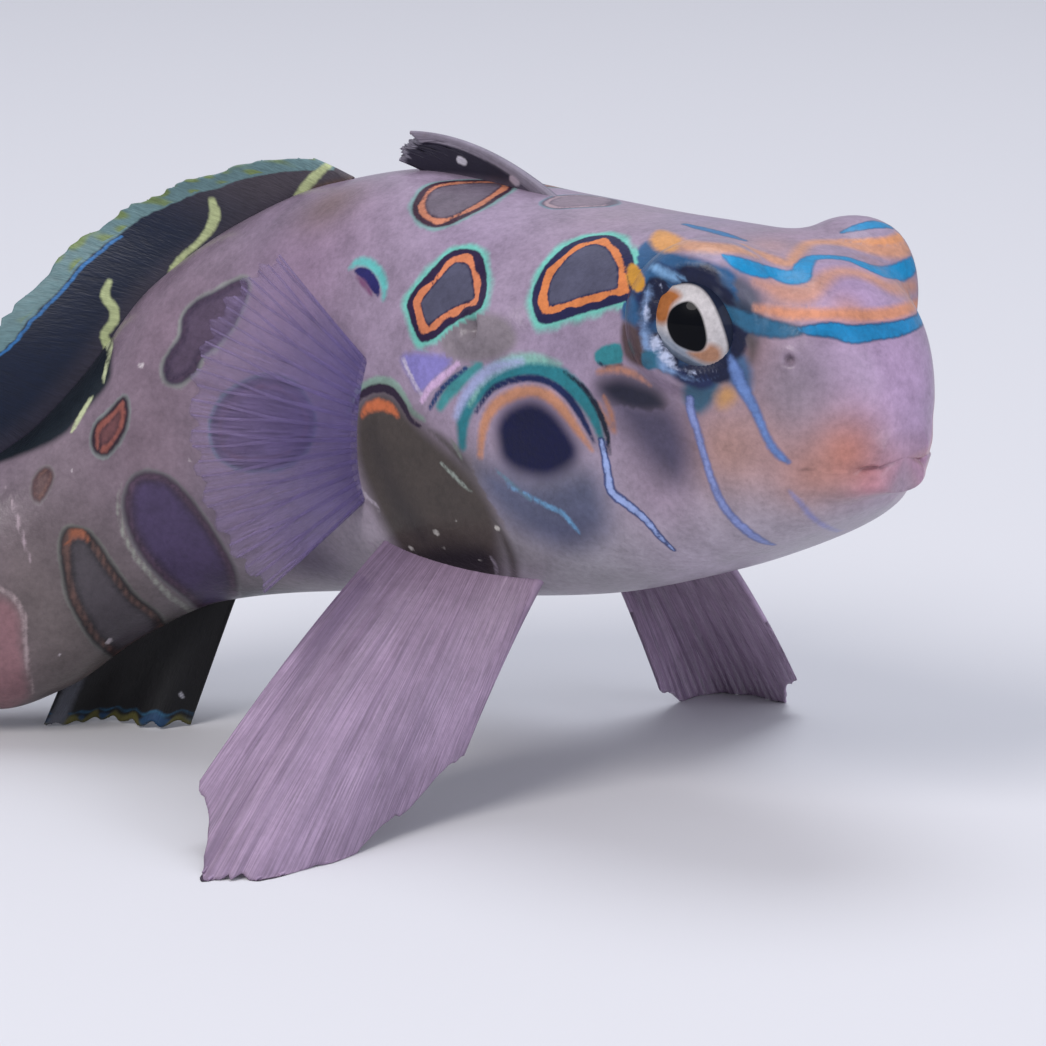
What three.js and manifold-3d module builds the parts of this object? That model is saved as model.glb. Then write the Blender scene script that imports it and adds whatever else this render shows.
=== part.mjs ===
// Spotted mandarinfish, life size, at rest on the tips of its lower fins.
// Units are millimetres. Z is up, the head points towards +X and a little towards -Y.
// Every place on the fish is given by its distance behind the snout, its distance to the
// fish's right of the middle line, and its height above the floor.

import * as THREE from 'three';
import { mergeVertices } from 'three/addons/utils/BufferGeometryUtils.js';
import Module from 'manifold-3d';

const wasm = await Module();
wasm.setup();

// Driving dimensions
const BODY_LENGTH = 46;
const HEAD_END = 15.5;
const TRUNK_END = 30;
const NODE_GAP = 0.3;
const SNOUT = { x: 12.2, y: -11.4 };
const FLOOR_CUT_DEPTH = 20;
const FINENESS = 0.03;

// Yaw of the middle line in degrees, by distance behind the snout
const YAW = [[0, 47], [10, 46], [17, 40], [24, 26], [32, 3], [38, -10], [46, -19], [66, -34]];

// Height of the back, height of the belly, and half of the width, by distance behind the snout
const BACK = [
  [0, 14], [0.7, 15.8], [2.2, 17.8], [4, 18.9], [7, 19.4], [11, 19.4], [16, 19.6],
  [21, 20], [25, 19.3], [28, 18], [31.5, 15.5], [34, 12.3], [36, 10.3], [40, 8.1], [46, 5.9],
];
const BELLY = [
  [0, 12.1], [0.7, 11.4], [2.2, 10.6], [5, 9.4], [8, 8.2], [12, 7], [17, 6.2],
  [24, 5.4], [29, 4.6], [32, 3.2], [34.5, 1.5], [37, 0.7], [46, 0.9],
];
const HALF_WIDTH = [
  [0, 1], [0.7, 1.9], [2.2, 3.05], [4.5, 4.15], [8, 5.1], [12, 5.8], [17, 6.1],
  [24, 5.3], [30, 4.2], [36, 3.1], [40, 2.3], [46, 1.2],
];
const WIDEST_LEVEL = [[0, 0.5], [8, 0.4], [17, 0.4], [30, 0.46], [46, 0.5]];
const SQUARENESS = [[0, 2.3], [3, 2.9], [8, 2.7], [18, 2.5], [30, 2.1], [46, 2.1]];

// The snout leans forwards above this level and backwards below it, less and less towards the eyes
const SNOUT_LEAN = { slope: 0.2, level: 16.2, until: 6 };

// Eyes
const EYE = { behind: 5.9, side: 3.35, height: 17.1, radius: 1.95, bulge: 2.55, blend: 0.8 };
const EYE_GAZE = { forward: 0.5, side: 0.87, up: 0.06 };
const LID = { ring: 1.72, thickness: 0.42, out: 1.15, mouth: 2.12, throat: 1.27, sink: 0.3, plug: 2.4 };

// Mouth, nostrils and gill pores
const MOUTH = { height: 12.8, half: 1.6, depth: 0.9, droop: 0.1, slit: 0.3, before: -1.2, inner: 1.1 };
const LIP = { inset: 0.22, radius: 0.58, rise: 0.57 };
const NOSTRIL = { behind: 2.6, side: 3.1, height: 16.2, radius: 0.3 };
const GILL_PORE = { behind: 13.6, height: 15.9, side: 4.15, radius: 1.5, blend: 0.9, pitSide: 5.7, pit: 0.4 };

// Fins. Pairs run from the first ray to the last; lean is in degrees, spread in radians.
const MEMBRANE = 0.55;
const RIDGE = 0.35;
const TIP_SHARE = 0.55;
const ROOT_SINK = 1.2;
const SCALLOP = 0.04;
const FIRST_DORSAL = {
  from: 16.2, to: 21.2, back: [1, 0.8], side: 0.1, up: [0.62, 0.25], length: [6.6, 1.2],
  sway: 0.02, droop: [-0.27, -0.03],
};
const SECOND_DORSAL = {
  from: 24.3, to: 37.8, lean: [48, 12], sway: 0.12, sways: 9, curl: [0.04, 0.08, -0.04],
};
const SECOND_DORSAL_LENGTH = [[0, 1.5], [0.2, 2.7], [0.5, 3.4], [0.8, 4.1], [1, 3.5]];
const ANAL = { from: 28.8, to: 34.8, back: [0.35, 0.5], sway: 0.1, sways: 8, curl: 0.06, below: 0.35 };
const TAIL_FIN = { length: 12.5, shortest: 0.88, spread: [-0.13, 0.5], side: 0.1, inset: 0.15, curl: 0.06 };
const PECTORAL = {
  behind: 19.5, height: 12.2, base: 4.2, inset: 0.35, length: 6.1, shortest: 0.72,
  spread: [1.15, -0.95], out: 0.62, curl: [0.1, -0.12],
};
const PELVIC = { from: 12.7, to: 18.9, side: [4.1, 5.3], rise: 1, rearHeight: 8.4, curl: -0.12 };

// Places of the tips of the pelvic fins, from the front ray to the last
const RIGHT_TIPS = [
  [-1.7, -6, 2.7], [-3.9, -8, 1.1], [-6.4, -11.4, -0.1], [-9.4, -13, -0.4], [-10, -8.6, 2.3],
];
const LEFT_TIPS = [
  [9.4, 7.6, 1.6], [8.9, 9.8, 0], [7.6, 10.8, -0.4], [6.2, 10.6, -0.3], [4.6, 8.2, 1.4],
];

// Fineness of the lengths of the body: distance between rings, and points in a ring
const RINGS = { head: [0.6, 40], trunk: [1.2, 36], tail: [1.5, 28], cutter: [0.8, 40] };

const COLOURS = {
  skin: '#a692a2',
  skinRear: '#97858f',
  eye: '#dcd7d6',
  darkFin: '#2c3a3d',
  blackFin: '#1c1b22',
  lilacFin: '#a58ca8',
};

// Smooth curve through a table of [place, value] rows, with no overshoot
function through(table) {
  const slopes = [];
  for (let i = 0; i + 1 < table.length; i += 1) {
    slopes.push((table[i + 1][1] - table[i][1]) / (table[i + 1][0] - table[i][0]));
  }
  const lean = table.map((row, i) => {
    if (i === 0) return slopes[0];
    if (i === table.length - 1) return slopes[i - 1];
    const before = slopes[i - 1];
    const after = slopes[i];
    return before * after <= 0 ? 0 : (2 * before * after) / (before + after);
  });
  return (where) => {
    const last = table.length - 2;
    let i = 0;
    while (i < last && where > table[i + 1][0]) i += 1;
    const span = table[i + 1][0] - table[i][0];
    const t = THREE.MathUtils.clamp((where - table[i][0]) / span, 0, 1);
    const rise = t * t * (3 - 2 * t);
    const value = table[i][1] * (1 - rise) + table[i + 1][1] * rise;
    const leave = lean[i] * span * t * (1 - t) * (1 - t);
    const arrive = lean[i + 1] * span * t * t * (1 - t);
    return value + leave - arrive;
  };
}

const yawAt = through(YAW);
const backAt = through(BACK);
const bellyAt = through(BELLY);
const halfWidthAt = through(HALF_WIDTH);
const widestAt = through(WIDEST_LEVEL);
const squarenessAt = through(SQUARENESS);

// Middle line, stepped once along the fish
const STEP = 0.1;
const LINE_LENGTH = 70;
const middleLine = [new THREE.Vector2(SNOUT.x, SNOUT.y)];
for (let behind = 0; behind < LINE_LENGTH; behind += STEP) {
  const yaw = THREE.MathUtils.degToRad(yawAt(behind + STEP / 2));
  const last = middleLine[middleLine.length - 1];
  middleLine.push(new THREE.Vector2(last.x - Math.cos(yaw) * STEP, last.y + Math.sin(yaw) * STEP));
}

// Point at a distance behind the snout, to the fish's right and above the floor
function place(behind, side, height) {
  const yaw = THREE.MathUtils.degToRad(yawAt(Math.max(behind, 0)));
  const index = Math.max(behind, 0) / STEP;
  const low = Math.floor(index);
  const middle = middleLine[low].clone().lerp(middleLine[low + 1], index - low);
  const fade = Math.max(1 - Math.max(behind, 0) / SNOUT_LEAN.until, 0) ** 2;
  const ahead = Math.min(behind, 0) - SNOUT_LEAN.slope * (height - SNOUT_LEAN.level) * fade;
  return new THREE.Vector3(
    middle.x - Math.cos(yaw) * ahead - Math.sin(yaw) * side,
    middle.y + Math.sin(yaw) * ahead - Math.cos(yaw) * side,
    height,
  );
}

// Direction given by its parts along the fish: backwards, to the right, and up
function along(behind, back, side, up) {
  const yaw = THREE.MathUtils.degToRad(yawAt(behind));
  return new THREE.Vector3(
    -Math.cos(yaw) * back - Math.sin(yaw) * side,
    Math.sin(yaw) * back - Math.cos(yaw) * side,
    up,
  );
}

// Bumps that swell out of the skin: the two eye mounds and the two gill pores
const bumps = [1, -1].flatMap((hand) => [
  { at: place(EYE.behind, EYE.side * hand, EYE.height), radius: EYE.bulge, blend: EYE.blend },
  {
    at: place(GILL_PORE.behind, GILL_PORE.side * hand, GILL_PORE.height),
    radius: GILL_PORE.radius,
    blend: GILL_PORE.blend,
  },
]);

function smoothLargest(a, b, blend) {
  const share = Math.max(blend - Math.abs(a - b), 0) / blend;
  return Math.max(a, b) + (share * share * blend) / 4;
}

// Point of the skin at an angle round the section: 0 is the right side, a quarter turn the back
function skin(behind, angle, grow = 0) {
  const top = backAt(behind) + grow;
  const bottom = bellyAt(behind) - grow;
  const level = bottom + (top - bottom) * widestAt(behind);
  const power = 2 / squarenessAt(behind);
  const across = Math.sign(Math.cos(angle)) * Math.abs(Math.cos(angle)) ** power;
  const upwards = Math.sign(Math.sin(angle)) * Math.abs(Math.sin(angle)) ** power;
  const reach = upwards > 0 ? top - level : level - bottom;
  const point = place(behind, across * (halfWidthAt(behind) + grow), level + upwards * reach);
  for (const bump of bumps) {
    const out = point.clone().sub(bump.at);
    const distance = out.length();
    if (distance < bump.radius + bump.blend + grow) {
      point.copy(bump.at).addScaledVector(
        out.normalize(),
        smoothLargest(distance, bump.radius + grow, bump.blend),
      );
    }
  }
  return point;
}

// Closed geometry from rings of points, with a point or a flat cap at each end
function loft(rings, closeFirst, closeLast) {
  const around = rings[0].length;
  const points = [closeFirst, ...rings.flat(), closeLast];
  const faces = [];
  const at = (ring, step) => 1 + ring * around + (step % around);
  for (let step = 0; step < around; step += 1) {
    faces.push([0, at(0, step + 1), at(0, step)]);
    faces.push([points.length - 1, at(rings.length - 1, step), at(rings.length - 1, step + 1)]);
  }
  for (let ring = 0; ring + 1 < rings.length; ring += 1) {
    for (let step = 0; step < around; step += 1) {
      faces.push([at(ring, step), at(ring, step + 1), at(ring + 1, step + 1)]);
      faces.push([at(ring, step), at(ring + 1, step + 1), at(ring + 1, step)]);
    }
  }
  return facesToGeometry(points, faces);
}

function facesToGeometry(points, faces) {
  const geometry = new THREE.BufferGeometry().setFromPoints(points);
  geometry.setIndex(faces.flat());
  return geometry;
}

// Length of the body between two distances behind the snout. Rings crowd towards the snout.
const CROWDING = 1.35;
const SNOUT_CAP = 0.15;

function bodyLength(from, to, [spacing, around], grow = 0) {
  const count = Math.ceil((to - from) / spacing);
  const rings = [];
  for (let ring = 0; ring <= count; ring += 1) {
    const share = ring / count;
    const behind = from === 0 ? to * share ** CROWDING : from + (to - from) * share;
    const points = [];
    for (let step = 0; step < around; step += 1) {
      points.push(skin(behind, (step / around) * Math.PI * 2, grow));
    }
    rings.push(points);
  }
  const middle = (behind) => (backAt(behind) + bellyAt(behind)) / 2;
  const first = place(from === 0 ? -SNOUT_CAP - grow : from, 0, middle(from));
  const last = place(to, 0, middle(Math.min(to, BODY_LENGTH)));
  return loft(rings, first, last);
}

// Solids, for joins and cuts
function solidOf(geometry) {
  const bare = geometry.clone();
  bare.deleteAttribute('normal');
  bare.deleteAttribute('uv');
  const merged = mergeVertices(bare, 1e-5);
  const mesh = new wasm.Mesh({
    numProp: 3,
    vertProperties: new Float32Array(merged.attributes.position.array),
    triVerts: new Uint32Array(merged.index.array),
  });
  mesh.merge();
  const solid = new wasm.Manifold(mesh);
  return solid.volume() < 0 ? new wasm.Manifold(flipped(mesh)) : solid;
}

function flipped(mesh) {
  const order = mesh.triVerts.slice();
  for (let i = 0; i < order.length; i += 3) {
    order[i] = mesh.triVerts[i + 1];
    order[i + 1] = mesh.triVerts[i];
  }
  return new wasm.Mesh({ numProp: 3, vertProperties: mesh.vertProperties, triVerts: order });
}

function largestOf(solid) {
  return solid.decompose().reduce((best, piece) => (piece.volume() > best.volume() ? piece : best));
}

function geometryOf(solid) {
  const mesh = largestOf(solid).simplify(FINENESS).getMesh();
  const geometry = new THREE.BufferGeometry();
  geometry.setAttribute('position', new THREE.BufferAttribute(mesh.vertProperties, 3));
  geometry.setIndex(new THREE.BufferAttribute(mesh.triVerts, 1));
  const flat = geometry.toNonIndexed();
  flat.computeVertexNormals();
  return flat;
}

function ball(centre, radius, across = 20, down = 14) {
  return solidOf(new THREE.SphereGeometry(radius, across, down).translate(centre.x, centre.y, centre.z));
}

// Rod of round section along a smooth path
function rod(path, radius, sides = 8, steps = 16) {
  const section = new THREE.Shape().absarc(0, 0, radius, 0, Math.PI * 2);
  const curve = new THREE.CatmullRomCurve3(path);
  return solidOf(new THREE.ExtrudeGeometry(section, {
    steps,
    curveSegments: sides / 2,
    bevelEnabled: false,
    extrudePath: curve,
  }));
}

const floor = solidOf(
  new THREE.BoxGeometry(200, 200, FLOOR_CUT_DEPTH).translate(0, 0, -FLOOR_CUT_DEPTH / 2),
);
const grownBody = solidOf(bodyLength(0, BODY_LENGTH + NODE_GAP, RINGS.cutter, NODE_GAP));

// Head
function eyeSide(hand) {
  const centre = place(EYE.behind, EYE.side * hand, EYE.height);
  const gaze = along(EYE.behind, -EYE_GAZE.forward, EYE_GAZE.side * hand, EYE_GAZE.up).normalize();
  return { centre, gaze };
}

// Geometry made along +Z, turned to an eye's gaze and set at a distance out from its centre
function facingGaze(geometry, hand, out) {
  const { centre, gaze } = eyeSide(hand);
  geometry.applyQuaternion(new THREE.Quaternion().setFromUnitVectors(new THREE.Vector3(0, 0, 1), gaze));
  return solidOf(geometry.translate(...centre.clone().addScaledVector(gaze, out).toArray()));
}

function lidRing(hand) {
  return facingGaze(new THREE.TorusGeometry(LID.ring, LID.thickness, 8, 24), hand, LID.out);
}

function lidOpening(hand) {
  const plug = new THREE.CylinderGeometry(LID.mouth, LID.throat, LID.plug, 24).rotateX(Math.PI / 2);
  return facingGaze(plug, hand, LID.out + LID.plug / 2 - LID.sink);
}

// Line of the mouth, from the right corner round the snout to the left one. It droops to its corners.
function mouthLine(inset, rise) {
  const path = [];
  for (let step = 0; step <= 12; step += 1) {
    const turn = (step / 12 - 0.5) * Math.PI;
    const behind = inset + MOUTH.depth * (1 - Math.cos(turn));
    const height = MOUTH.height - MOUTH.droop * (1 - Math.cos(turn)) + rise * Math.cos(turn) ** 0.5;
    path.push(place(behind, Math.sin(turn) * MOUTH.half, height));
  }
  return path;
}

function lip(rise) {
  return rod(mouthLine(LIP.inset, rise), LIP.radius, 8, 14);
}

// Thin wedge that parts the lips, between two copies of the line of the mouth
function mouthSlit() {
  const outer = mouthLine(MOUTH.before, 0);
  const narrowing = 0.3;
  const deep = mouthLine(MOUTH.inner, 0);
  const inner = deep.map((point) => point.clone().lerp(deep[(deep.length - 1) / 2], narrowing));
  const points = [];
  for (const rise of [-MOUTH.slit / 2, MOUTH.slit / 2]) {
    for (const line of [outer, inner]) {
      points.push(...line.map((point) => point.clone().setZ(point.z + rise)));
    }
  }
  const count = outer.length;
  const faces = [];
  const quad = (a, b, c, d) => faces.push([a, b, c], [a, c, d]);
  for (let i = 0; i + 1 < count; i += 1) {
    quad(i + 1, i, count + i, count + i + 1);
    quad(2 * count + i, 2 * count + i + 1, 3 * count + i + 1, 3 * count + i);
    quad(i, i + 1, 2 * count + i + 1, 2 * count + i);
    quad(count + i + 1, count + i, 3 * count + i, 3 * count + i + 1);
  }
  quad(count, 0, 2 * count, 3 * count);
  quad(count - 1, 2 * count - 1, 4 * count - 1, 3 * count - 1);
  return solidOf(facesToGeometry(points, faces));
}

function buildHead() {
  let head = solidOf(bodyLength(0, HEAD_END - NODE_GAP / 2, RINGS.head));
  head = head.add(lip(LIP.rise)).add(lip(-LIP.rise));
  for (const hand of [1, -1]) {
    const { centre } = eyeSide(hand);
    head = head.add(lidRing(hand));
    head = head.subtract(lidOpening(hand));
    head = head.subtract(ball(centre, EYE.radius + NODE_GAP));
    head = head.subtract(ball(
      place(NOSTRIL.behind, NOSTRIL.side * hand, NOSTRIL.height), NOSTRIL.radius, 8, 6,
    ));
    head = head.subtract(ball(
      place(GILL_PORE.behind, GILL_PORE.pitSide * hand, GILL_PORE.height), GILL_PORE.pit, 8, 6,
    ));
  }
  return head.subtract(mouthSlit());
}

// Fin as a grid from its root to its margin. ray(u) gives each ray's root, direction, length and
// curl; u runs from the first ray to the last.
function fin({ ray, rays, perRay = 2, rows = 6, sink = ROOT_SINK }) {
  const columns = (rays - 1) * perRay;
  const centreOf = (u, v) => {
    const { root, direction, length, curl } = ray(u);
    const valley = 0.5 - 0.5 * Math.cos(u * (rays - 1) * Math.PI * 2);
    const reach = length * (1 - SCALLOP * valley * Math.max(v, 0) ** 2);
    return root.clone()
      .addScaledVector(direction, reach * v)
      .addScaledVector(curl, length * Math.max(v, 0) ** 2);
  };
  const front = [];
  const back = [];
  for (let column = 0; column <= columns; column += 1) {
    const u = column / columns;
    const low = -sink / ray(u).length;
    for (let row = 0; row <= rows; row += 1) {
      const v = low + (1 - low) * (row / rows);
      const small = 0.01;
      const alongU = centreOf(Math.min(u + small, 1), v).sub(centreOf(Math.max(u - small, 0), v));
      const alongV = centreOf(u, v + small).sub(centreOf(u, v - small));
      const normal = alongU.cross(alongV).normalize();
      const crest = 0.5 + 0.5 * Math.cos(u * (rays - 1) * Math.PI * 2);
      const taper = 1 - (1 - TIP_SHARE) * Math.max(v, 0);
      const half = ((MEMBRANE + RIDGE * crest) * taper) / 2;
      const centre = centreOf(u, v);
      front.push(centre.clone().addScaledVector(normal, half));
      back.push(centre.clone().addScaledVector(normal, -half));
    }
  }
  const faces = [];
  const size = front.length;
  const at = (column, row) => column * (rows + 1) + row;
  const strip = (a, b) => faces.push([a, b, b + size], [a, b + size, a + size]);
  for (let column = 0; column < columns; column += 1) {
    for (let row = 0; row < rows; row += 1) {
      const a = at(column, row);
      const b = at(column + 1, row);
      const c = at(column + 1, row + 1);
      const d = at(column, row + 1);
      faces.push([a, b, c], [a, c, d]);
      faces.push([a + size, c + size, b + size], [a + size, d + size, c + size]);
    }
    strip(at(column + 1, 0), at(column, 0));
    strip(at(column, rows), at(column + 1, rows));
  }
  for (let row = 0; row < rows; row += 1) {
    strip(at(0, row), at(0, row + 1));
    strip(at(columns, row + 1), at(columns, row));
  }
  const blank = solidOf(facesToGeometry([...front, ...back], faces));
  return (sink > 0 ? blank.subtract(grownBody) : blank).subtract(floor);
}

// Ray whose direction is given along the fish at its own root
function rayFrom(behind, side, height, back, out, up, length, curl) {
  return {
    root: place(behind, side, height),
    direction: along(behind, back, out, up).normalize(),
    length,
    curl: along(behind, ...curl),
  };
}

const mix = THREE.MathUtils.lerp;
const between = (pair, u) => mix(pair[0], pair[1], u);
const secondDorsalLength = through(SECOND_DORSAL_LENGTH);

// Direction square to a slope of the back, leant backwards by an angle in degrees
function squareTo(slope, lean) {
  const square = new THREE.Vector2(-slope, 1).normalize();
  return square.rotateAround(new THREE.Vector2(), -THREE.MathUtils.degToRad(lean));
}

function firstDorsal(u) {
  const behind = mix(FIRST_DORSAL.from, FIRST_DORSAL.to, u);
  return rayFrom(
    behind, 0, backAt(behind), between(FIRST_DORSAL.back, u), FIRST_DORSAL.side,
    between(FIRST_DORSAL.up, u), between(FIRST_DORSAL.length, u),
    [0, FIRST_DORSAL.sway, between(FIRST_DORSAL.droop, u)],
  );
}

function secondDorsal(u) {
  const behind = mix(SECOND_DORSAL.from, SECOND_DORSAL.to, u);
  const slope = backAt(behind + 0.5) - backAt(behind - 0.5);
  const way = squareTo(slope, between(SECOND_DORSAL.lean, u));
  const sway = SECOND_DORSAL.sway * Math.sin(u * SECOND_DORSAL.sways);
  const [back, side, up] = SECOND_DORSAL.curl;
  return rayFrom(
    behind, 0, backAt(behind), way.x, sway, way.y, secondDorsalLength(u),
    [back, side * Math.sin(u * SECOND_DORSAL.sways + 1), up],
  );
}

function analFin(u) {
  const behind = mix(ANAL.from, ANAL.to, u);
  const back = between(ANAL.back, u);
  const length = (bellyAt(behind) + ANAL.below) * Math.hypot(back, 1);
  const sway = Math.sin(u * ANAL.sways);
  return rayFrom(behind, 0, bellyAt(behind), back, ANAL.sway * sway, -1, length, [0, ANAL.curl * sway, 0]);
}

function tailFin(u) {
  const end = BODY_LENGTH + NODE_GAP;
  const height = mix(bellyAt(end) + TAIL_FIN.inset, backAt(end) - TAIL_FIN.inset, u);
  const up = between(TAIL_FIN.spread, u);
  const length = TAIL_FIN.length * mix(TAIL_FIN.shortest, 1, Math.sin(Math.PI * u));
  return rayFrom(end, 0, height, 1, TAIL_FIN.side, up, length, [0, TAIL_FIN.curl, 0]);
}

function pectoral(hand) {
  return (u) => {
    const angle = between(PECTORAL.spread, u);
    const length = PECTORAL.length * mix(PECTORAL.shortest, 1, Math.sin(Math.PI * mix(0.1, 0.9, u)));
    const height = PECTORAL.height + PECTORAL.base * (0.5 - u);
    const side = (halfWidthAt(PECTORAL.behind) - PECTORAL.inset) * hand;
    return rayFrom(
      PECTORAL.behind, side, height, Math.cos(angle), PECTORAL.out * hand, Math.sin(angle), length,
      [PECTORAL.curl[0], PECTORAL.curl[1] * hand, 0],
    );
  };
}

// Pelvic fin between its root line on the throat and its tips on the floor
function pelvic(hand, tips) {
  const tipCurve = new THREE.CatmullRomCurve3(tips.map((tip) => new THREE.Vector3(...tip)));
  return (u) => {
    const behind = mix(PELVIC.from, PELVIC.to, u);
    const height = mix(bellyAt(behind) + PELVIC.rise, PELVIC.rearHeight, u);
    const root = place(behind, between(PELVIC.side, u) * hand, height);
    const reach = tipCurve.getPoint(u).sub(root);
    const curl = new THREE.Vector3(0, 0, PELVIC.curl);
    const length = reach.length();
    const direction = reach.clone().addScaledVector(curl, -length).normalize();
    return { root, direction, length, curl };
  };
}

// The fish
const fish = new THREE.Group();

function addNode(name, solid, colour, roughness) {
  const material = new THREE.MeshStandardMaterial({ color: colour, roughness, metalness: 0 });
  const mesh = new THREE.Mesh(geometryOf(solid), material);
  mesh.name = name;
  fish.add(mesh);
}

const trunk = solidOf(bodyLength(HEAD_END + NODE_GAP / 2, TRUNK_END - NODE_GAP / 2, RINGS.trunk));
const tail = solidOf(bodyLength(TRUNK_END + NODE_GAP / 2, BODY_LENGTH, RINGS.tail));
addNode('head', buildHead(), COLOURS.skin, 0.35);
addNode('trunk', trunk, COLOURS.skin, 0.35);
addNode('tail', tail, COLOURS.skinRear, 0.35);
for (const [name, hand] of [['eye_right', 1], ['eye_left', -1]]) {
  addNode(name, ball(eyeSide(hand).centre, EYE.radius), COLOURS.eye, 0.1);
}
addNode('first_dorsal_fin', fin({ ray: firstDorsal, rays: 4 }), COLOURS.darkFin, 0.5);
addNode('second_dorsal_fin', fin({ ray: secondDorsal, rays: 9 }), COLOURS.darkFin, 0.5);
addNode('anal_fin', fin({ ray: analFin, rays: 8, rows: 4 }), COLOURS.blackFin, 0.5);
addNode('tail_fin', fin({ ray: tailFin, rays: 10, sink: 0 }), COLOURS.lilacFin, 0.5);
addNode('pectoral_fin_right', fin({ ray: pectoral(1), rays: 15 }), COLOURS.lilacFin, 0.5);
addNode('pectoral_fin_left', fin({ ray: pectoral(-1), rays: 15 }), COLOURS.lilacFin, 0.5);
addNode('pelvic_fin_right', fin({ ray: pelvic(1, RIGHT_TIPS), rays: 13 }), COLOURS.lilacFin, 0.5);
addNode('pelvic_fin_left', fin({ ray: pelvic(-1, LEFT_TIPS), rays: 13 }), COLOURS.lilacFin, 0.5);

// The origin is on the floor, under the middle of the whole fish
const box = new THREE.Box3().setFromObject(fish);
const centre = box.getCenter(new THREE.Vector3());
fish.position.set(-centre.x, -centre.y, -box.min.z);

export default fish;
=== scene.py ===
import math

import bpy
import numpy as np
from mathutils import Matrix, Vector
from mathutils.bvhtree import BVHTree


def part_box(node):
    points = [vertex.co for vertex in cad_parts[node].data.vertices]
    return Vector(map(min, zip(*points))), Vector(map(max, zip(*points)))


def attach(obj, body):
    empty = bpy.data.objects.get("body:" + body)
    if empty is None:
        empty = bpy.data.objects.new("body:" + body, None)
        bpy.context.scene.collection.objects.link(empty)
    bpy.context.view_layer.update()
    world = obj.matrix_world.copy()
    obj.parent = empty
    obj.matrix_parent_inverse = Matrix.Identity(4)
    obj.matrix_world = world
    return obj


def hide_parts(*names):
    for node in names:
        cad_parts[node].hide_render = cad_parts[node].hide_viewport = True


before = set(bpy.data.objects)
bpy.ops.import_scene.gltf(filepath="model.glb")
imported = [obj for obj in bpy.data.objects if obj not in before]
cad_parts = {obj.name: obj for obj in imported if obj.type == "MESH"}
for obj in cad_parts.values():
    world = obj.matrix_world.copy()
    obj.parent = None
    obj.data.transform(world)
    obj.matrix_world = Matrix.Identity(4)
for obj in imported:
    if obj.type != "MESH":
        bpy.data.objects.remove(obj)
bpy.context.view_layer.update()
MM = 0.001
TONE = 0.72  # share of a screen colour that the scene's light calls for
NOWHERE = 99.0  # a distance longer than any in the fish

# Sizes shared with the part's source
BODY_LENGTH = 46
NODE_GAP = 0.3
SNOUT = (12.2, -11.4)
YAW = [[0, 47], [10, 46], [17, 40], [24, 26], [32, 3], [38, -10], [46, -19], [66, -34]]
BACK = [
    [0, 14], [0.7, 15.8], [2.2, 17.8], [4, 18.9], [7, 19.4], [11, 19.4], [16, 19.6],
    [21, 20], [25, 19.3], [28, 18], [31.5, 15.5], [34, 12.3], [36, 10.3], [40, 8.1], [46, 5.9],
]
BELLY = [
    [0, 12.1], [0.7, 11.4], [2.2, 10.6], [5, 9.4], [8, 8.2], [12, 7], [17, 6.2],
    [24, 5.4], [29, 4.6], [32, 3.2], [34.5, 1.5], [37, 0.7], [46, 0.9],
]
HALF_WIDTH = [
    [0, 1], [0.7, 1.9], [2.2, 3.05], [4.5, 4.15], [8, 5.1], [12, 5.8], [17, 6.1],
    [24, 5.3], [30, 4.2], [36, 3.1], [40, 2.3], [46, 1.2],
]
WIDEST_LEVEL = [[0, 0.5], [8, 0.4], [17, 0.4], [30, 0.46], [46, 0.5]]
SQUARENESS = [[0, 2.3], [3, 2.9], [8, 2.7], [18, 2.5], [30, 2.1], [46, 2.1]]
SNOUT_LEAN = dict(slope=0.2, level=16.2, until=6)
EYE = dict(behind=5.9, side=3.35, height=17.1, radius=1.95, bulge=2.55, blend=0.8)
MOUTH = dict(height=12.8, half=1.6, depth=0.9, droop=0.1)
NOSTRIL = dict(behind=2.6, side=3.1, height=16.2)
GILL_PORE = dict(behind=13.6, side=4.15, height=15.9, radius=1.5, blend=0.9)
SECOND_DORSAL_LENGTH = [[0, 1.5], [0.2, 2.7], [0.5, 3.4], [0.8, 4.1], [1, 3.5]]
RIGHT_TIPS = [[-1.7, -6, 2.7], [-3.9, -8, 1.1], [-6.4, -11.4, -0.1], [-9.4, -13, -0.4], [-10, -8.6, 2.3]]
LEFT_TIPS = [[9.4, 7.6, 1.6], [8.9, 9.8, 0], [7.6, 10.8, -0.4], [6.2, 10.6, -0.3], [4.6, 8.2, 1.4]]

# Camera, in the same millimetres before the part's own shift to its origin
CAMERA_TARGET = np.array([0, 0, 8.6])
CAMERA_DISTANCE = 170
CAMERA_ELEVATION = math.radians(12)
FRAME_PIXELS = 1046
FOCAL_PIXELS = 5100
PIXELS_PER_MM = FOCAL_PIXELS / CAMERA_DISTANCE
LOOKING = np.array([0, math.cos(CAMERA_ELEVATION), -math.sin(CAMERA_ELEVATION)])
VIEW_UP = np.array([0, math.sin(CAMERA_ELEVATION), math.cos(CAMERA_ELEVATION)])
CAMERA_SPOT = CAMERA_TARGET - LOOKING * CAMERA_DISTANCE


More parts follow.
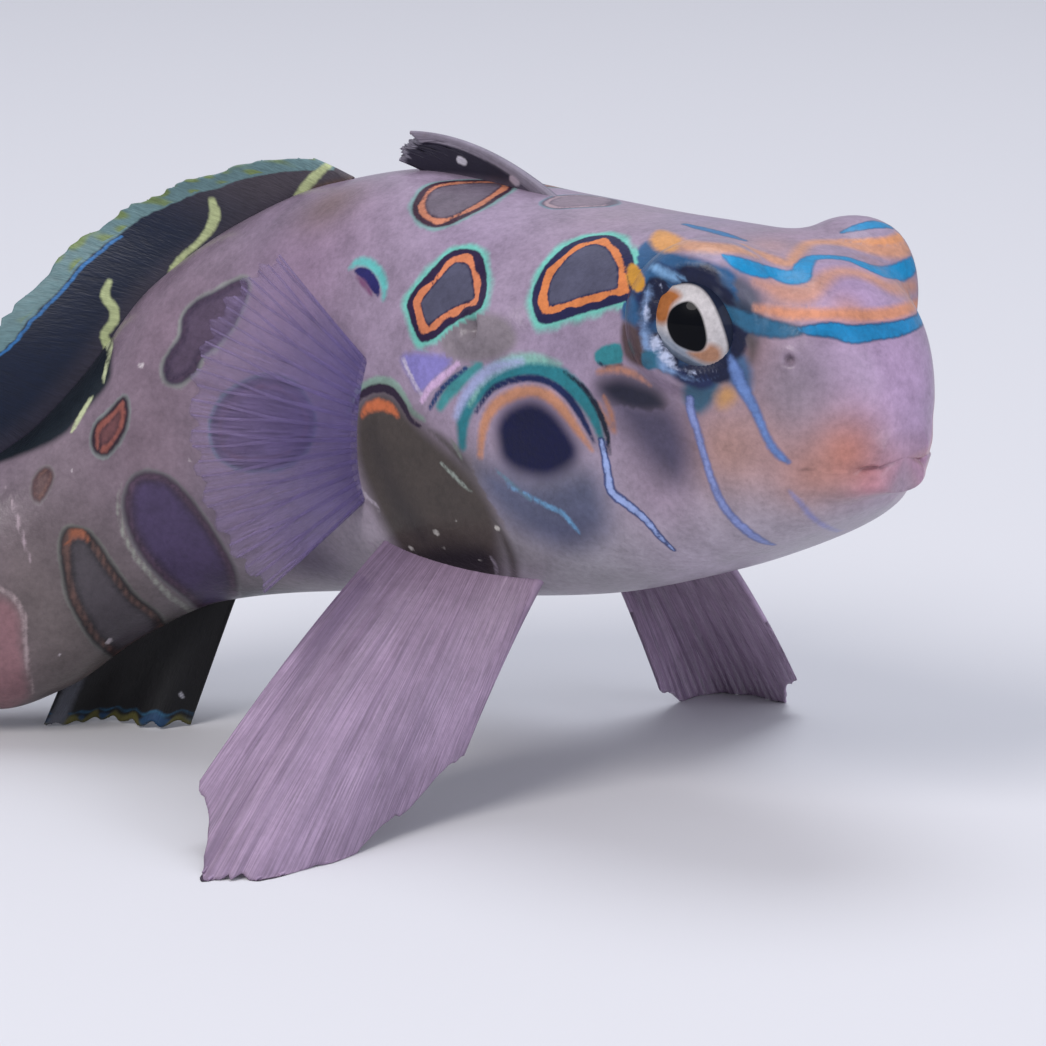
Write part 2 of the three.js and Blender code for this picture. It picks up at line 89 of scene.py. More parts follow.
def through(table):
    """Smooth curve through a table of (place, value) rows, without overshoots."""
    at = np.array([row[0] for row in table], float)
    value = np.array([row[1] for row in table], float)
    slope = np.diff(value) / np.diff(at)
    lean = np.concatenate([slope[:1], np.zeros(len(at) - 2), slope[-1:]])
    product = slope[:-1] * slope[1:]
    both = np.where(product > 0, slope[:-1] + slope[1:], 1)
    lean[1:-1] = np.where(product > 0, 2 * product / both, 0)

    def read(where):
        where = np.asarray(where, float)
        i = np.clip(np.searchsorted(at, where) - 1, 0, len(at) - 2)
        span = at[i + 1] - at[i]
        t = np.clip((where - at[i]) / span, 0, 1)
        rise = t * t * (3 - 2 * t)
        bend = lean[i] * t * (1 - t) ** 2 - lean[i + 1] * t * t * (1 - t)
        return value[i] * (1 - rise) + value[i + 1] * rise + span * bend

    return read


yaw_at = through(YAW)
back_at = through(BACK)
belly_at = through(BELLY)
half_width_at = through(HALF_WIDTH)
widest_at = through(WIDEST_LEVEL)
squareness_at = through(SQUARENESS)

STEP = 0.1
steps = np.radians(yaw_at(np.arange(0, 70, STEP) + STEP / 2))
middle_line = np.vstack([[SNOUT], SNOUT + np.cumsum(np.stack([-np.cos(steps), np.sin(steps)], -1) * STEP, 0)])


def as_arrays(*values):
    return np.broadcast_arrays(*(np.asarray(value, float) for value in values))


def place(behind, side, height):
    """Points of the fish, along its bent middle line; the face leans a little back towards its top."""
    behind, side, height = as_arrays(behind, side, height)
    on_line = np.maximum(behind, 0)
    fade = np.maximum(1 - on_line / SNOUT_LEAN["until"], 0) ** 2
    ahead = np.minimum(behind, 0) - SNOUT_LEAN["slope"] * (height - SNOUT_LEAN["level"]) * fade
    yaw = np.radians(yaw_at(on_line))
    low = np.floor(on_line / STEP + 1e-9).astype(int)
    share = (on_line / STEP - low)[..., None]
    middle = middle_line[low] * (1 - share) + middle_line[low + 1] * share
    x = middle[..., 0] - np.cos(yaw) * ahead - np.sin(yaw) * side
    y = middle[..., 1] + np.sin(yaw) * ahead - np.cos(yaw) * side
    return np.stack([x, y, height], -1)


def along(behind, back, side, up):
    """Direction made of shares backwards, to the fish's right and upwards."""
    behind, back, side, up = as_arrays(behind, back, side, up)
    yaw = np.radians(yaw_at(behind))
    return np.stack([-np.cos(yaw) * back - np.sin(yaw) * side, np.sin(yaw) * back - np.cos(yaw) * side, up], -1)


def unit(vectors):
    return vectors / np.maximum(np.linalg.norm(vectors, axis=-1, keepdims=True), 1e-12)


def mix(a, b, share):
    return a + (b - a) * share


def bell(away, width):
    return np.exp(-((away / width) ** 2))


def smooth_step(low, high, value):
    t = np.clip((value - low) / (high - low), 0, 1)
    return t * t * (3 - 2 * t)


# The part's shift to its origin, read off the right eye
eye_low, eye_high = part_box("eye_right")
eye_centre = (np.array(eye_low) + np.array(eye_high)) / 2 / MM
SHIFT = eye_centre - place(EYE["behind"], EYE["side"], EYE["height"])
SHIFT[2] = 0


# Pieces
def link(name, data):
    piece = bpy.data.objects.new(name, data)
    bpy.context.scene.collection.objects.link(piece)
    return piece


def new_piece(name, points, faces, finish):
    """Smooth mesh of points in millimetres."""
    mesh = bpy.data.meshes.new(name)
    mesh.from_pydata(((points + SHIFT) * MM).tolist(), [], faces)
    mesh.update()
    mesh.shade_smooth()
    mesh.materials.append(finish)
    return link(name, mesh)


def settle(piece, slot, *nodes):
    """Hide the CAD nodes that the piece stands for, and let it ride on the one body."""
    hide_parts(*nodes)
    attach(piece, "root")


def keep(piece, name, values):
    """Numbers or colours of a piece's points, as an attribute."""
    values = np.asarray(values, np.float32).reshape(len(piece.data.vertices), -1)
    if values.shape[1] == 1:
        attribute = piece.data.attributes.new(name, "FLOAT", "POINT")
        attribute.data.foreach_set("value", values.ravel())
        return
    if values.shape[1] == 3:
        values = np.pad(values, ((0, 0), (0, 1)), constant_values=1)
    attribute = piece.data.attributes.new(name, "FLOAT_COLOR", "POINT")
    attribute.data.foreach_set("color", values.ravel())


def linear(colour):
    """Base colour that looks like this screen colour, of 0 to 255, in the scene's light."""
    colour = np.asarray(colour, float) / 255
    return TONE * np.where(colour <= 0.04045, colour / 12.92, ((colour + 0.055) / 1.055) ** 2.4)


# Camera, floor and light
def set_camera():
    data = bpy.data.cameras.new("camera")
    data.lens_unit = "FOV"
    data.angle = 2 * math.atan(FRAME_PIXELS / 2 / FOCAL_PIXELS)
    data.clip_start = 0.01
    data.clip_end = 20
    camera = link("camera", data)
    camera.location = (CAMERA_SPOT + SHIFT) * MM
    camera.rotation_euler = Vector(LOOKING).to_track_quat("-Z", "Y").to_euler()
    bpy.context.scene.camera = camera


def set_floor():
    reach = 3.0
    mesh = bpy.data.meshes.new("floor")
    corners = [(-reach, -reach, 0), (reach, -reach, 0), (reach, reach, 0), (-reach, reach, 0)]
    mesh.from_pydata(corners, [], [(0, 1, 2, 3)])
    finish = Finish("pale_floor")
    finish.set(Base_Color=(0.62, 0.62, 0.64, 1), Roughness=0.85)
    mesh.materials.append(finish.material)
    link("floor", mesh)


# Name, place in metres, width, power and colour
LIGHTS = (
    ("key", (-0.2, -0.34, 0.36), 0.24, 1.65, (1.0, 0.96, 0.94)),
    ("fill", (0.38, -0.3, 0.16), 0.35, 0.9, (0.85, 0.88, 1.0)),
    ("top", (0.02, 0.12, 0.45), 0.3, 0.9, (0.9, 0.93, 1.0)))
LIT_SPOT = Vector((0, 0, 0.01))
ROOM_LIGHT = dict(Color=(0.86, 0.88, 1.0, 1), Strength=0.56)


def set_lights():
    world = bpy.data.worlds.new("soft_room")
    world.use_nodes = True
    background = world.node_tree.nodes["Background"]
    for key, value in ROOM_LIGHT.items():
        background.inputs[key].default_value = value
    bpy.context.scene.world = world
    for name, spot, width, power, colour in LIGHTS:
        data = bpy.data.lights.new(name, "AREA")
        data.shape = "DISK"
        data.size = width
        data.energy = power
        data.color = colour
        light = link(name, data)
        light.location = spot
        light.rotation_euler = (LIT_SPOT - Vector(spot)).to_track_quat("-Z", "Y").to_euler()


# Finishes
class Finish:
    """Material whose nodes are named and joined in a few words."""

    def __init__(self, name):
        self.material = bpy.data.materials.new(name)
        self.material.use_nodes = True
        self.nodes = self.material.node_tree.nodes
        self.links = self.material.node_tree.links
        self.shader = self.nodes["Principled BSDF"]

    def node(self, kind, joined=None, **settings):
        node = self.nodes.new("ShaderNode" + kind)
        for key, value in settings.items():
            setattr(node, key, value)
        for socket, value in (joined or {}).items():
            self.join(value, node.inputs[socket])
        return node

    def join(self, value, socket):
        if isinstance(value, bpy.types.NodeSocket):
            self.links.new(value, socket)
        elif isinstance(value, bpy.types.Node):
            self.links.new(value.outputs[0], socket)
        else:
            socket.default_value = value

    def set(self, **values):
        for key, value in values.items():
            self.join(value, self.shader.inputs[key.replace("_", " ")])

    def attribute(self, name, part="Fac"):
        return self.node("Attribute", attribute_name=name).outputs[part]

    def shading(self, value, darkest):
        """Grey from the darkest up to white, over the middle of the value's range."""
        node = self.node("ValToRGB", {0: value})
        for mark, where, grey in zip(node.color_ramp.elements, (0.3, 0.7), (darkest, 1.0)):
            mark.position = where
            mark.color = (grey, grey, grey, 1)
        return node.outputs["Color"]

    def blend(self, share, a, b, kind="MIX"):
        node = self.node("Mix", data_type="RGBA", blend_type=kind)
        self.join(share, node.inputs[0])
        self.join(a if isinstance(a, bpy.types.NodeSocket) else (*a, 1), node.inputs[6])
        self.join(b if isinstance(b, bpy.types.NodeSocket) else (*b, 1), node.inputs[7])
        return node.outputs[2]

    def sum(self, a, b, operation="ADD"):
        return self.node("Math", {0: a, 1: b}, operation=operation).outputs[0]

    def ranged(self, value, low, high, start, end, **settings):
        return self.node("MapRange", {"Value": value, 1: low, 2: high, 3: start, 4: end}, **settings).outputs[0]

    def noise(self, scale, detail, roughness, where):
        return self.node(
            "TexNoise", {"Vector": where, "Scale": scale, "Detail": detail, "Roughness": roughness}).outputs["Fac"]

    def bump(self, height, strength, distance):
        node = self.node("Bump", {"Height": height, "Strength": strength, "Distance": distance})
        self.set(Normal=node.outputs["Normal"])


# Skin of head, trunk and tail: rings along the fish, each with evenly spaced points
AROUND = 320
FINE_AROUND = 721
HEAD_RINGS = 150
BODY_RINGS = 160
HEAD_END = 15.5
bumps = []
for hand in (1, -1):
    bumps.append((place(EYE["behind"], EYE["side"] * hand, EYE["height"]), EYE["bulge"], EYE["blend"]))
    bumps.append((
        place(GILL_PORE["behind"], GILL_PORE["side"] * hand, GILL_PORE["height"]),
        GILL_PORE["radius"], GILL_PORE["blend"]))


def skin_point(behind, angle):
    """Points of the skin at an angle round the fish, swollen round the eyes and gill pores."""
    top = back_at(behind)
    bottom = belly_at(behind)
    level = bottom + (top - bottom) * widest_at(behind)
    power = 2 / squareness_at(behind)
    across = np.sign(np.cos(angle)) * np.abs(np.cos(angle)) ** power
    upwards = np.sign(np.sin(angle)) * np.abs(np.sin(angle)) ** power
    reach = np.where(upwards > 0, top - level, level - bottom)
    points = place(behind, across * half_width_at(behind), level + upwards * reach)
    for at, radius, blend in bumps:
        out = points - at
        distance = np.linalg.norm(out, axis=-1)
        share = np.maximum(blend - np.abs(distance - radius), 0) / blend
        swollen = np.maximum(distance, radius) + share * share * blend / 4
        near = (distance < radius + blend)[..., None]
        points = np.where(near, at + unit(out) * swollen[..., None], points)
    return points


def skin_grid():
    """Rings of points evenly spaced round the fish, and how far behind the snout each ring is."""
    head = HEAD_END * (np.arange(HEAD_RINGS) / HEAD_RINGS) ** 1.25
    body = HEAD_END + (BODY_LENGTH - HEAD_END) * np.linspace(0, 1, BODY_RINGS) ** 1.15
    behind = np.concatenate([head, body])[:, None]
    angle = np.linspace(-math.pi / 2, 1.5 * math.pi, FINE_AROUND)[None, :]
    fine = skin_point(behind, angle)
    pace = np.linalg.norm(np.diff(fine, axis=1), axis=-1)
    walked = np.concatenate([np.zeros((len(fine), 1)), np.cumsum(pace, 1)], 1)
    grid = np.empty((len(fine), AROUND, 3))
    for ring in range(len(fine)):
        stops = np.linspace(0, walked[ring, -1], AROUND + 1)[:-1]
        for axis in range(3):
            grid[ring, :, axis] = np.interp(stops, walked[ring], fine[ring, :, axis])
    return grid, behind[:, 0]


def grid_normals(grid):
    down = np.gradient(grid, axis=0)
    across = np.roll(grid, -1, 1) - np.roll(grid, 1, 1)
    return unit(np.cross(across, down))


# Lids: distance from the eye's middle by millimetres past their edge, half angle and tilt of the opening
LID = [[-0.3, 1.76], [-0.05, 1.84], [0.05, 2.08], [0.18, 2.28], [0.5, 2.5], [1.0, 2.55]]
LID_OPENING = 0.7
LID_TILT = math.radians(125)
GAZE = (-0.5, 0.87, 0.06)
lid_at = through(LID)


def eye_frame(hand):
    """The eye's middle, gaze, upward and sideward directions."""
    centre = place(EYE["behind"], EYE["side"] * hand, EYE["height"])
    gaze = unit(along(EYE["behind"], GAZE[0], GAZE[1] * hand, GAZE[2]))
    up = unit(np.array([0, 0, 1.0]) - gaze * gaze[2])
    return centre, gaze, up, np.cross(up, gaze)


def around_eye(points, hand):
    """Ways out from the eye's middle, turns from its gaze, places round it and distances past the lids' edge."""
    centre, gaze, up, right = eye_frame(hand)
    out = points - centre
    turn = np.arccos(np.clip((out @ gaze) / np.maximum(np.linalg.norm(out, axis=-1), 1e-6), -1, 1))
    lean = np.arctan2(out @ up, (out @ right) * hand)
    opening = LID_OPENING * (1 + 0.1 * np.cos(2 * (lean - LID_TILT)))
    return out, turn, lean, (turn - opening) * EYE["radius"]


def shape_lids(grid):
    """Lids drawn over the ball, thinnest at their edge."""
    for hand in (1, -1):
        out, turn, _, edge = around_eye(grid, hand)
        radius = np.linalg.norm(out, axis=-1)
        shaped = lid_at(edge) + (radius - EYE["bulge"]) * smooth_step(0.3, 1.1, edge)
        near = ((edge < 1.2) & (turn < 1.5))[..., None]
        grid = np.where(near, grid - out + unit(out) * shaped[..., None], grid)
    return grid


def distance_to_step(points, a, b):
    """Distances to the straight step from a to b, and the share of the step at which each is nearest."""
    way = b - a
    share = np.clip(((points - a) @ way) / max(way @ way, 1e-12), 0, 1)
    return np.linalg.norm(points - a - share[..., None] * way, axis=-1), share


def distance_to_line(points, line):
    best = np.full(points.shape[:-1], NOWHERE)
    for a, b in zip(line[:-1], line[1:]):
        best = np.minimum(best, distance_to_step(points, a, b)[0])
    return best


def shape_mouth(grid, behind):
    """Lips, the slit between them and the fold under the lower one."""
    turn = np.linspace(-0.5, 0.5, 41) * math.pi
    line = place(
        MOUTH["depth"] * (1 - np.cos(turn)) - 0.05, np.sin(turn) * MOUTH["half"],
        MOUTH["height"] - MOUTH["droop"] * (1 - np.cos(turn)))
    rows = behind < 5
    near = grid[rows]
    distance = distance_to_line(near, line)
    below = near[..., 2] < MOUTH["height"] - 0.05
    middle = np.exp(-((np.linalg.norm(near - line[20], axis=-1) / 1.5) ** 4))
    lips = (0.35 + 0.65 * middle) * np.where(below, 0.34, 0.14) * bell(distance - 0.55, 0.42)
    slit = -0.4 * (0.25 + 0.75 * middle) * bell(distance, 0.1)
    fold = np.where(below, -0.1, -0.02) * bell(distance - 1.35, 0.3)
    grid[rows] = near + grid_normals(grid)[rows] * (lips + slit + fold)[..., None]
    return grid


def shape_pits(grid):
    """Nostrils and gill pores: pits with a raised rim."""
    normals = grid_normals(grid)
    for hand in (1, -1):
        for behind, side, height, radius, depth, rim in (
            (NOSTRIL["behind"], NOSTRIL["side"], NOSTRIL["height"], 0.14, 0.28, 0.06),
            (GILL_PORE["behind"] + 0.9, 5.6, GILL_PORE["height"] + 0.15, 0.3, 0.45, 0.08),
        ):
            spot = place(behind, side * hand, height)
            away = np.linalg.norm(grid - spot, axis=-1)
            nearest = away.min()
            away = np.sqrt(np.maximum(away ** 2 - nearest ** 2, 0))
            rise = rim * bell(away - 1.9 * radius, 0.7 * radius) - depth * bell(away, radius)
            grid = grid + normals * np.where(away < 6 * radius, rise, 0)[..., None]
    return grid


def tube_faces(rings, around):
    """Faces of a tube of rings of points, then those of its two ends, whose points come last."""
    faces = []
    for ring in range(rings - 1):
        for step in range(around):
            nxt = (step + 1) % around
            a, b = ring * around, (ring + 1) * around
            faces.append((a + step, a + nxt, b + nxt, b + step))
    first, last_ring = rings * around, (rings - 1) * around
    for step in range(around):
        nxt = (step + 1) % around
        faces += [(first, nxt, step), (first + 1, last_ring + step, last_ring + nxt)]
    return faces


def make_skin(finish, paint):
    grid, behind = skin_grid()
    grid = shape_mouth(grid, behind)
    grid = shape_lids(grid)
    grid = shape_pits(grid)
    rings = len(grid)
    ends = [place(at, 0, (back_at(on) + belly_at(on)) / 2) for at, on in ((-0.15, 0), (BODY_LENGTH, BODY_LENGTH))]
    points = np.vstack([grid.reshape(-1, 3), *ends])
    faces = tube_faces(rings, AROUND)
    piece = new_piece("skin", points, faces, finish)
    normals = grid_normals(grid)
    canvas = Canvas(grid, normals, faces[:(rings - 1) * AROUND])
    base = paint(canvas, grid, behind)
    # what the camera sees of the left side of the head keeps the marks laid on it
    seen = smooth_step(0.02, 0.3, -(normals @ LOOKING)) * smooth_step(16, 11, behind)[:, None]
    for key, sheet in {"base_tint": base, **canvas.sheets(rings, AROUND)}.items():
        sheet = both_sides(sheet, seen, 11)
        keep(piece, key, np.vstack([sheet.reshape(rings * AROUND, -1), sheet[0].mean(0), sheet[-1].mean(0)]))
    settle(piece, "skin", "head", "trunk", "tail")


# Marks. Each is laid on the piece from pixel places of the 1046-pixel frame, and kept as one
# signed distance a layer, so that its edge stays sharp between the mesh's own points.
LAYERS = ("halo", "dark", "warm", "core", "edge", "line")
FAR = 8.0  # largest distance kept, in widths of the soft edge
FINE_EDGE = 0.035
PATH_STEPS = 5
SEARCHED_DEPTHS = np.arange(140, 215, 0.5)


def camera_ray(x, y):
    middle = FRAME_PIXELS / 2
    return unit(LOOKING + (np.array([1, 0, 0]) * (x - middle) - VIEW_UP * (y - middle)) / FOCAL_PIXELS)


def run_out(points):
    """A path with one more point at each end, in line with the two before it."""
    points = np.asarray(points, float)
    return np.vstack([2 * points[0] - points[1], points, 2 * points[-1] - points[-2]])


def spline(a, b, c, d, t):
    """Smooth curve from b to c."""
    return 0.5 * (2 * b + (c - a) * t + (2 * a - 5 * b + 4 * c - d) * t ** 2 + (3 * b - a - 3 * c + d) * t ** 3)


def smooth_path(points, closed):
    points = np.asarray(points, float)
    padded = np.vstack([points[-1:], points, points[:2]]) if closed else run_out(points)
    share = (np.arange(PATH_STEPS) / PATH_STEPS)[:, None]
    path = [spline(*padded[i:i + 4], share) for i in range(len(padded) - 3)]
    return np.vstack(path if closed else path + [points[-1:]])


class Canvas:
    """Signed distances and tints of the marks on one piece."""

    def __init__(self, points, normals, faces):
        self.points, self.normals = points.reshape(-1, 3), normals.reshape(-1, 3)
        self.tree = BVHTree.FromPolygons(self.points.tolist(), faces)
        waves = self.points @ np.array([[1.9, 0.7, 2.3], [-1.1, 2.6, 1.4], [2.7, -1.9, 0.8]]).T
        self.uneven = np.sin(waves[:, 0]) * np.sin(waves[:, 1] + 1) + 0.6 * np.sin(2.3 * waves[:, 2])
        self.field = {layer: np.full(len(self.points), -FAR) for layer in LAYERS}
        self.tint = {layer: np.full((len(self.points), 4), 0.2) for layer in LAYERS}

    def lay(self, pixels):
        """Places on the piece that the camera sees at these pixels."""
        places = []
        for x, y in pixels:
            way = camera_ray(x, y)
            hit = self.tree.ray_cast(Vector(CAMERA_SPOT), Vector(way))[0]
            if hit is None:
                tries = [self.tree.find_nearest(Vector(CAMERA_SPOT + way * depth)) for depth in SEARCHED_DEPTHS]
                hit = min(tries, key=lambda found: found[3])[0]
            places.append(np.array(hit))
        return np.array(places)

    def put(self, layer, chosen, depth, soft, tint):
        """Lay a mark of these signed distances in millimetres wherever it lies deeper than those before it."""
        value = np.clip(depth / soft, -FAR, FAR)
        better = value > self.field[layer][chosen]
        rows = chosen[better]
        self.field[layer][rows] = value[better]
        self.tint[layer][rows] = (*linear(tint), min(1, FINE_EDGE / soft))

    def sheets(self, *shape):
        """Distances and tints of all layers, laid out in the given shape."""
        distances = {layer: self.field[layer].reshape(*shape, 1) for layer in LAYERS}
        return {**distances, **{layer + "_tint": self.tint[layer].reshape(*shape, 4) for layer in LAYERS}}

    def cover(self, layer, depth, soft, tint):
        """Put a field worked out for every point of the piece."""
        self.put(layer, np.arange(len(self.points)), np.ravel(depth), soft, tint)

    def near(self, path, reach):
        """Points of the piece round a path."""
        middle = path.mean(0)
        radius = np.linalg.norm(path - middle, axis=1).max() + reach
        return np.flatnonzero(np.linalg.norm(self.points - middle, axis=1) < radius)

    def depth_inside(self, outline, reach):
        """Points near an outline, and how deep inside it they lie."""
        middle = outline.mean(0)
        chosen = self.near(outline, reach)
        nearest = np.linalg.norm(self.points[chosen][:, None] - outline[None, ::6], axis=2).argmin(0)
        facing = unit(self.normals[chosen][nearest].mean(0))
        chosen = chosen[self.normals[chosen] @ facing > -0.1]
        near = self.points[chosen]
        side = unit(np.cross(facing, [0.3, 0.1, 1.0]))
        up = np.cross(side, facing)
        flat = np.stack([(near - middle) @ side, (near - middle) @ up], -1)
        edge = np.stack([(outline - middle) @ side, (outline - middle) @ up], -1)
        inside = np.zeros(len(near), bool)
        best = np.full(len(near), NOWHERE)
        for i in range(len(edge)):
            (xa, ya), (xb, yb) = edge[i - 1], edge[i]
            crosses = (ya > flat[:, 1]) != (yb > flat[:, 1])
            at = xa + (flat[:, 1] - ya) * (xb - xa) / (yb - ya if yb != ya else 1e-9)
            inside ^= crosses & (flat[:, 0] < at)
            best = np.minimum(best, distance_to_step(near, outline[i - 1], outline[i])[0])
        return chosen, np.where(inside, best, -best)

    def ring(self, pixels, bands, tints, soft=FINE_EDGE):
        """Closed spot: halo outside the outline, then dark, warm and core bands inwards."""
        outline = self.lay(smooth_path(pixels, True))
        halo, dark, warm, gap = bands
        chosen, depth = self.depth_inside(outline, halo + 0.8)
        uneven = self.uneven[chosen]
        dark = dark * (1 + 0.25 * uneven)
        warm = warm * (1 - 0.35 * uneven)
        self.put("halo", chosen, depth + halo * (0.6 - 0.2 * uneven), halo * 0.5, tints[0])
        self.put("dark", chosen, depth, soft * 1.3, tints[1])
        self.put("warm", chosen, np.minimum(depth - dark, dark + warm - depth), soft, tints[2])
        self.put("core", chosen, depth - dark - warm - gap, soft * 2, tints[3])

    def fill(self, layer, pixels, tint, soft):
        outline = self.lay(smooth_path(pixels, True))
        chosen, depth = self.depth_inside(outline, soft * FAR * 0.7 + 0.4)
        self.put(layer, chosen, depth, soft, tint)

    def stroke(self, layer, pixels, width, tint, soft, rim=0, rim_tint=None):
        """Line of the given half widths in pixels, one or a few along it, and a rim beside it."""
        path = self.lay(smooth_path(pixels, False))
        widths = np.atleast_1d(np.asarray(width, float))
        half = np.interp(np.linspace(0, 1, len(path)), np.linspace(0, 1, len(widths)), widths) / PIXELS_PER_MM
        chosen = self.near(path, half.max() + soft * FAR + 0.5)
        best = np.full(len(chosen), -NOWHERE)
        for i in range(len(path) - 1):
            away, share = distance_to_step(self.points[chosen], path[i], path[i + 1])
            best = np.maximum(best, mix(half[i], half[i + 1], share) - away)
        self.put(layer, chosen, best, soft, tint)
        if rim:
            self.put("edge", chosen, best + rim / PIXELS_PER_MM, soft, rim_tint)


def wander(shape, size, seed):
    """Soft random field over a grid, from -1 to 1, with about the given number of swells."""
    small = np.random.default_rng(seed).uniform(-1, 1, (size[0] + 3, size[1] + 3, 1))
    row = np.linspace(0, size[0], shape[0])[:, None] + np.ones(shape)
    column = np.linspace(0, size[1], shape[1])[None, :] + np.ones(shape)
    return read_grid(small, row, column, True)[..., 0]


def read_grid(grid, row, column, eased=False):
    """Values of a grid between its points."""
    row = np.clip(row, 0, grid.shape[0] - 1.001)
    column = np.clip(column, 0, grid.shape[1] - 1.001)
    r, c = row.astype(int), column.astype(int)
    s, t = row - r, column - c
    if eased:
        s, t = s * s * (3 - 2 * s), t * t * (3 - 2 * t)
    s, t = s[..., None], t[..., None]
    return mix(mix(grid[r, c], grid[r + 1, c], s), mix(grid[r, c + 1], grid[r + 1, c + 1], s), t)


def both_sides(field, direct, seed):
    """A field worked out on the right side, carried over to the left with small changes."""
    rings, around = field.shape[:2]
    rows, columns = np.mgrid[0:rings, 0:around].astype(float)
    half = around // 2
    off = np.sin(np.clip(columns / half, 0, 2) * math.pi) ** 2
    shift_row = wander((rings, around), (14, 10), seed) * 5 * off
    shift_column = wander((rings, around), (14, 10), seed + 1) * 4 * off
    closed = np.concatenate([field, field[:, :1]], 1)
    mirrored = read_grid(closed, rows + shift_row, np.abs(around - columns) - shift_column * off)
    left = (columns > half)[..., None]
    return np.where(left, mix(mirrored, field, direct[..., None]), field)


# Eyes
EYE_ROWS, EYE_COLUMNS = 120, 120
LENS_RISE = 0.09
IRIS = [
    (684, 284), (700, 288), (712, 302), (722, 325), (728, 350), (722, 366), (706, 366), (688, 358),
    (668, 345), (655, 328), (652, 308), (664, 290)]
IRIS_SHADE = [(655, 330), (668, 348), (690, 362), (706, 368), (690, 352), (672, 338)]
IRIS_PATCHES = [
    ([(658, 292), (672, 289), (681, 296), (672, 306), (667, 322), (657, 322), (654, 306)], (190, 118, 66)),
    ([(688, 353), (702, 350), (710, 344), (720, 349), (720, 360), (706, 363)], (204, 152, 122))]
PUPIL = [(680, 303), (692, 302), (702, 316), (707, 340), (701, 351), (688, 350), (674, 342), (667, 326), (670, 311)]


def eye_points(hand):
    """Points of the ball in rings round its gaze, with the swollen front of the lens."""
    centre, gaze, up, right = eye_frame(hand)
    turn = math.pi * (np.arange(1, EYE_ROWS) / EYE_ROWS)[:, None, None] ** 1.35
    swing = 2 * math.pi * (np.arange(EYE_COLUMNS) / EYE_COLUMNS)[None, :, None]
    way = gaze * np.cos(turn) + (right * np.cos(swing) + up * np.sin(swing)) * np.sin(turn)
    radius = EYE["radius"] + LENS_RISE * np.exp(-((turn / 0.5) ** 4))
    poles = [centre + gaze * (EYE["radius"] + LENS_RISE), centre - gaze * EYE["radius"]]
    return np.vstack([(centre + way * radius).reshape(-1, 3), poles]), centre


def make_eyes(finish):
    # rings that run the other way round than those of the skin, so their faces are turned over
    faces = [(face[0], *face[:0:-1]) for face in tube_faces(EYE_ROWS - 1, EYE_COLUMNS)]
    points, centre = eye_points(1)
    canvas = Canvas(points, unit(points - centre), faces)
    paint_eye(canvas)
    order = np.arange(len(points) - 2).reshape(EYE_ROWS - 1, EYE_COLUMNS)
    mirrored = order[:, (EYE_COLUMNS // 2 - np.arange(EYE_COLUMNS)) % EYE_COLUMNS].ravel()
    mirrored = np.append(mirrored, [len(points) - 2, len(points) - 1])
    for hand, word, rows in ((1, "right", np.arange(len(points))), (-1, "left", mirrored)):
        piece = new_piece("eyeball_" + word, eye_points(hand)[0], faces, finish)
        for key, sheet in canvas.sheets(len(points)).items():
            keep(piece, key, sheet[rows])
        settle(piece, "eye", "eye_" + word)


def paint_eye(canvas):
    canvas.fill("halo", IRIS, (222, 216, 216), 0.05)
    canvas.fill("dark", IRIS_SHADE, (150, 165, 185), 0.3)
    for outline, tint in IRIS_PATCHES:
        canvas.fill("warm", outline, tint, 0.12)
    canvas.fill("core", PUPIL, (4, 6, 14), 0.04)


# Fins. ray(u) gives root, direction, length and curl for the rays from the first, 0, to the last, 1.
def ray_from(behind, side, height, back, out, up, length, curl):
    return place(behind, side, height), unit(along(behind, back, out, up)), length, along(behind, *curl)


second_dorsal_length = through(SECOND_DORSAL_LENGTH)


def first_dorsal(u):
    behind = mix(16.2, 21.2, u)
    return ray_from(
        behind, 0, back_at(behind), mix(1, 0.8, u), 0.1, mix(0.62, 0.25, u), mix(6.6, 1.2, u),
        (0, 0.02, mix(-0.27, -0.03, u)))


def second_dorsal(u):
    behind = mix(24.3, 37.8, u)
    slope = back_at(behind + 0.5) - back_at(behind - 0.5)
    square = np.arctan2(1, -slope) - math.radians(1) * mix(48, 12, u)
    sway = np.sin(u * 9)
    return ray_from(
        behind, 0, back_at(behind), np.cos(square), 0.12 * sway, np.sin(square), second_dorsal_length(u),
        (0.04, 0.08 * np.sin(u * 9 + 1), -0.04))


def anal(u):
    behind = mix(28.8, 34.8, u)
    back = mix(0.35, 0.5, u)
    sway = np.sin(u * 8)
    length = (belly_at(behind) - 0.06) * np.hypot(back, 1)
    return ray_from(behind, 0, belly_at(behind), back, 0.1 * sway, -1, length, (0, 0.06 * sway, 0))


def tail_fin(u):
    end = BODY_LENGTH + NODE_GAP
    height = mix(belly_at(end) + 0.15, back_at(end) - 0.15, u)
    length = 12.5 * mix(0.88, 1, np.sin(math.pi * u))
    return ray_from(end, 0, height, 1, 0.1, mix(-0.13, 0.5, u), length, (0, 0.06, 0))


def pectoral(hand):
    def ray(u):
        angle = mix(1.15, -0.95, u)
        length = 6.1 * mix(0.72, 1, np.sin(math.pi * mix(0.1, 0.9, u)))
        side = (half_width_at(19.5) - 0.35) * hand
        return ray_from(
            19.5, side, 12.2 + 4.2 * (0.5 - u), np.cos(angle), 0.62 * hand, np.sin(angle), length,
            (0.1, -0.12 * hand, 0))
    return ray


def through_points(points, u):
    padded = run_out(points)
    spot = np.clip(u, 0, 1) * (len(points) - 1)
    i = np.minimum(spot.astype(int), len(points) - 2)
    return spline(*(padded[i + ahead] for ahead in range(4)), (spot - i)[..., None])


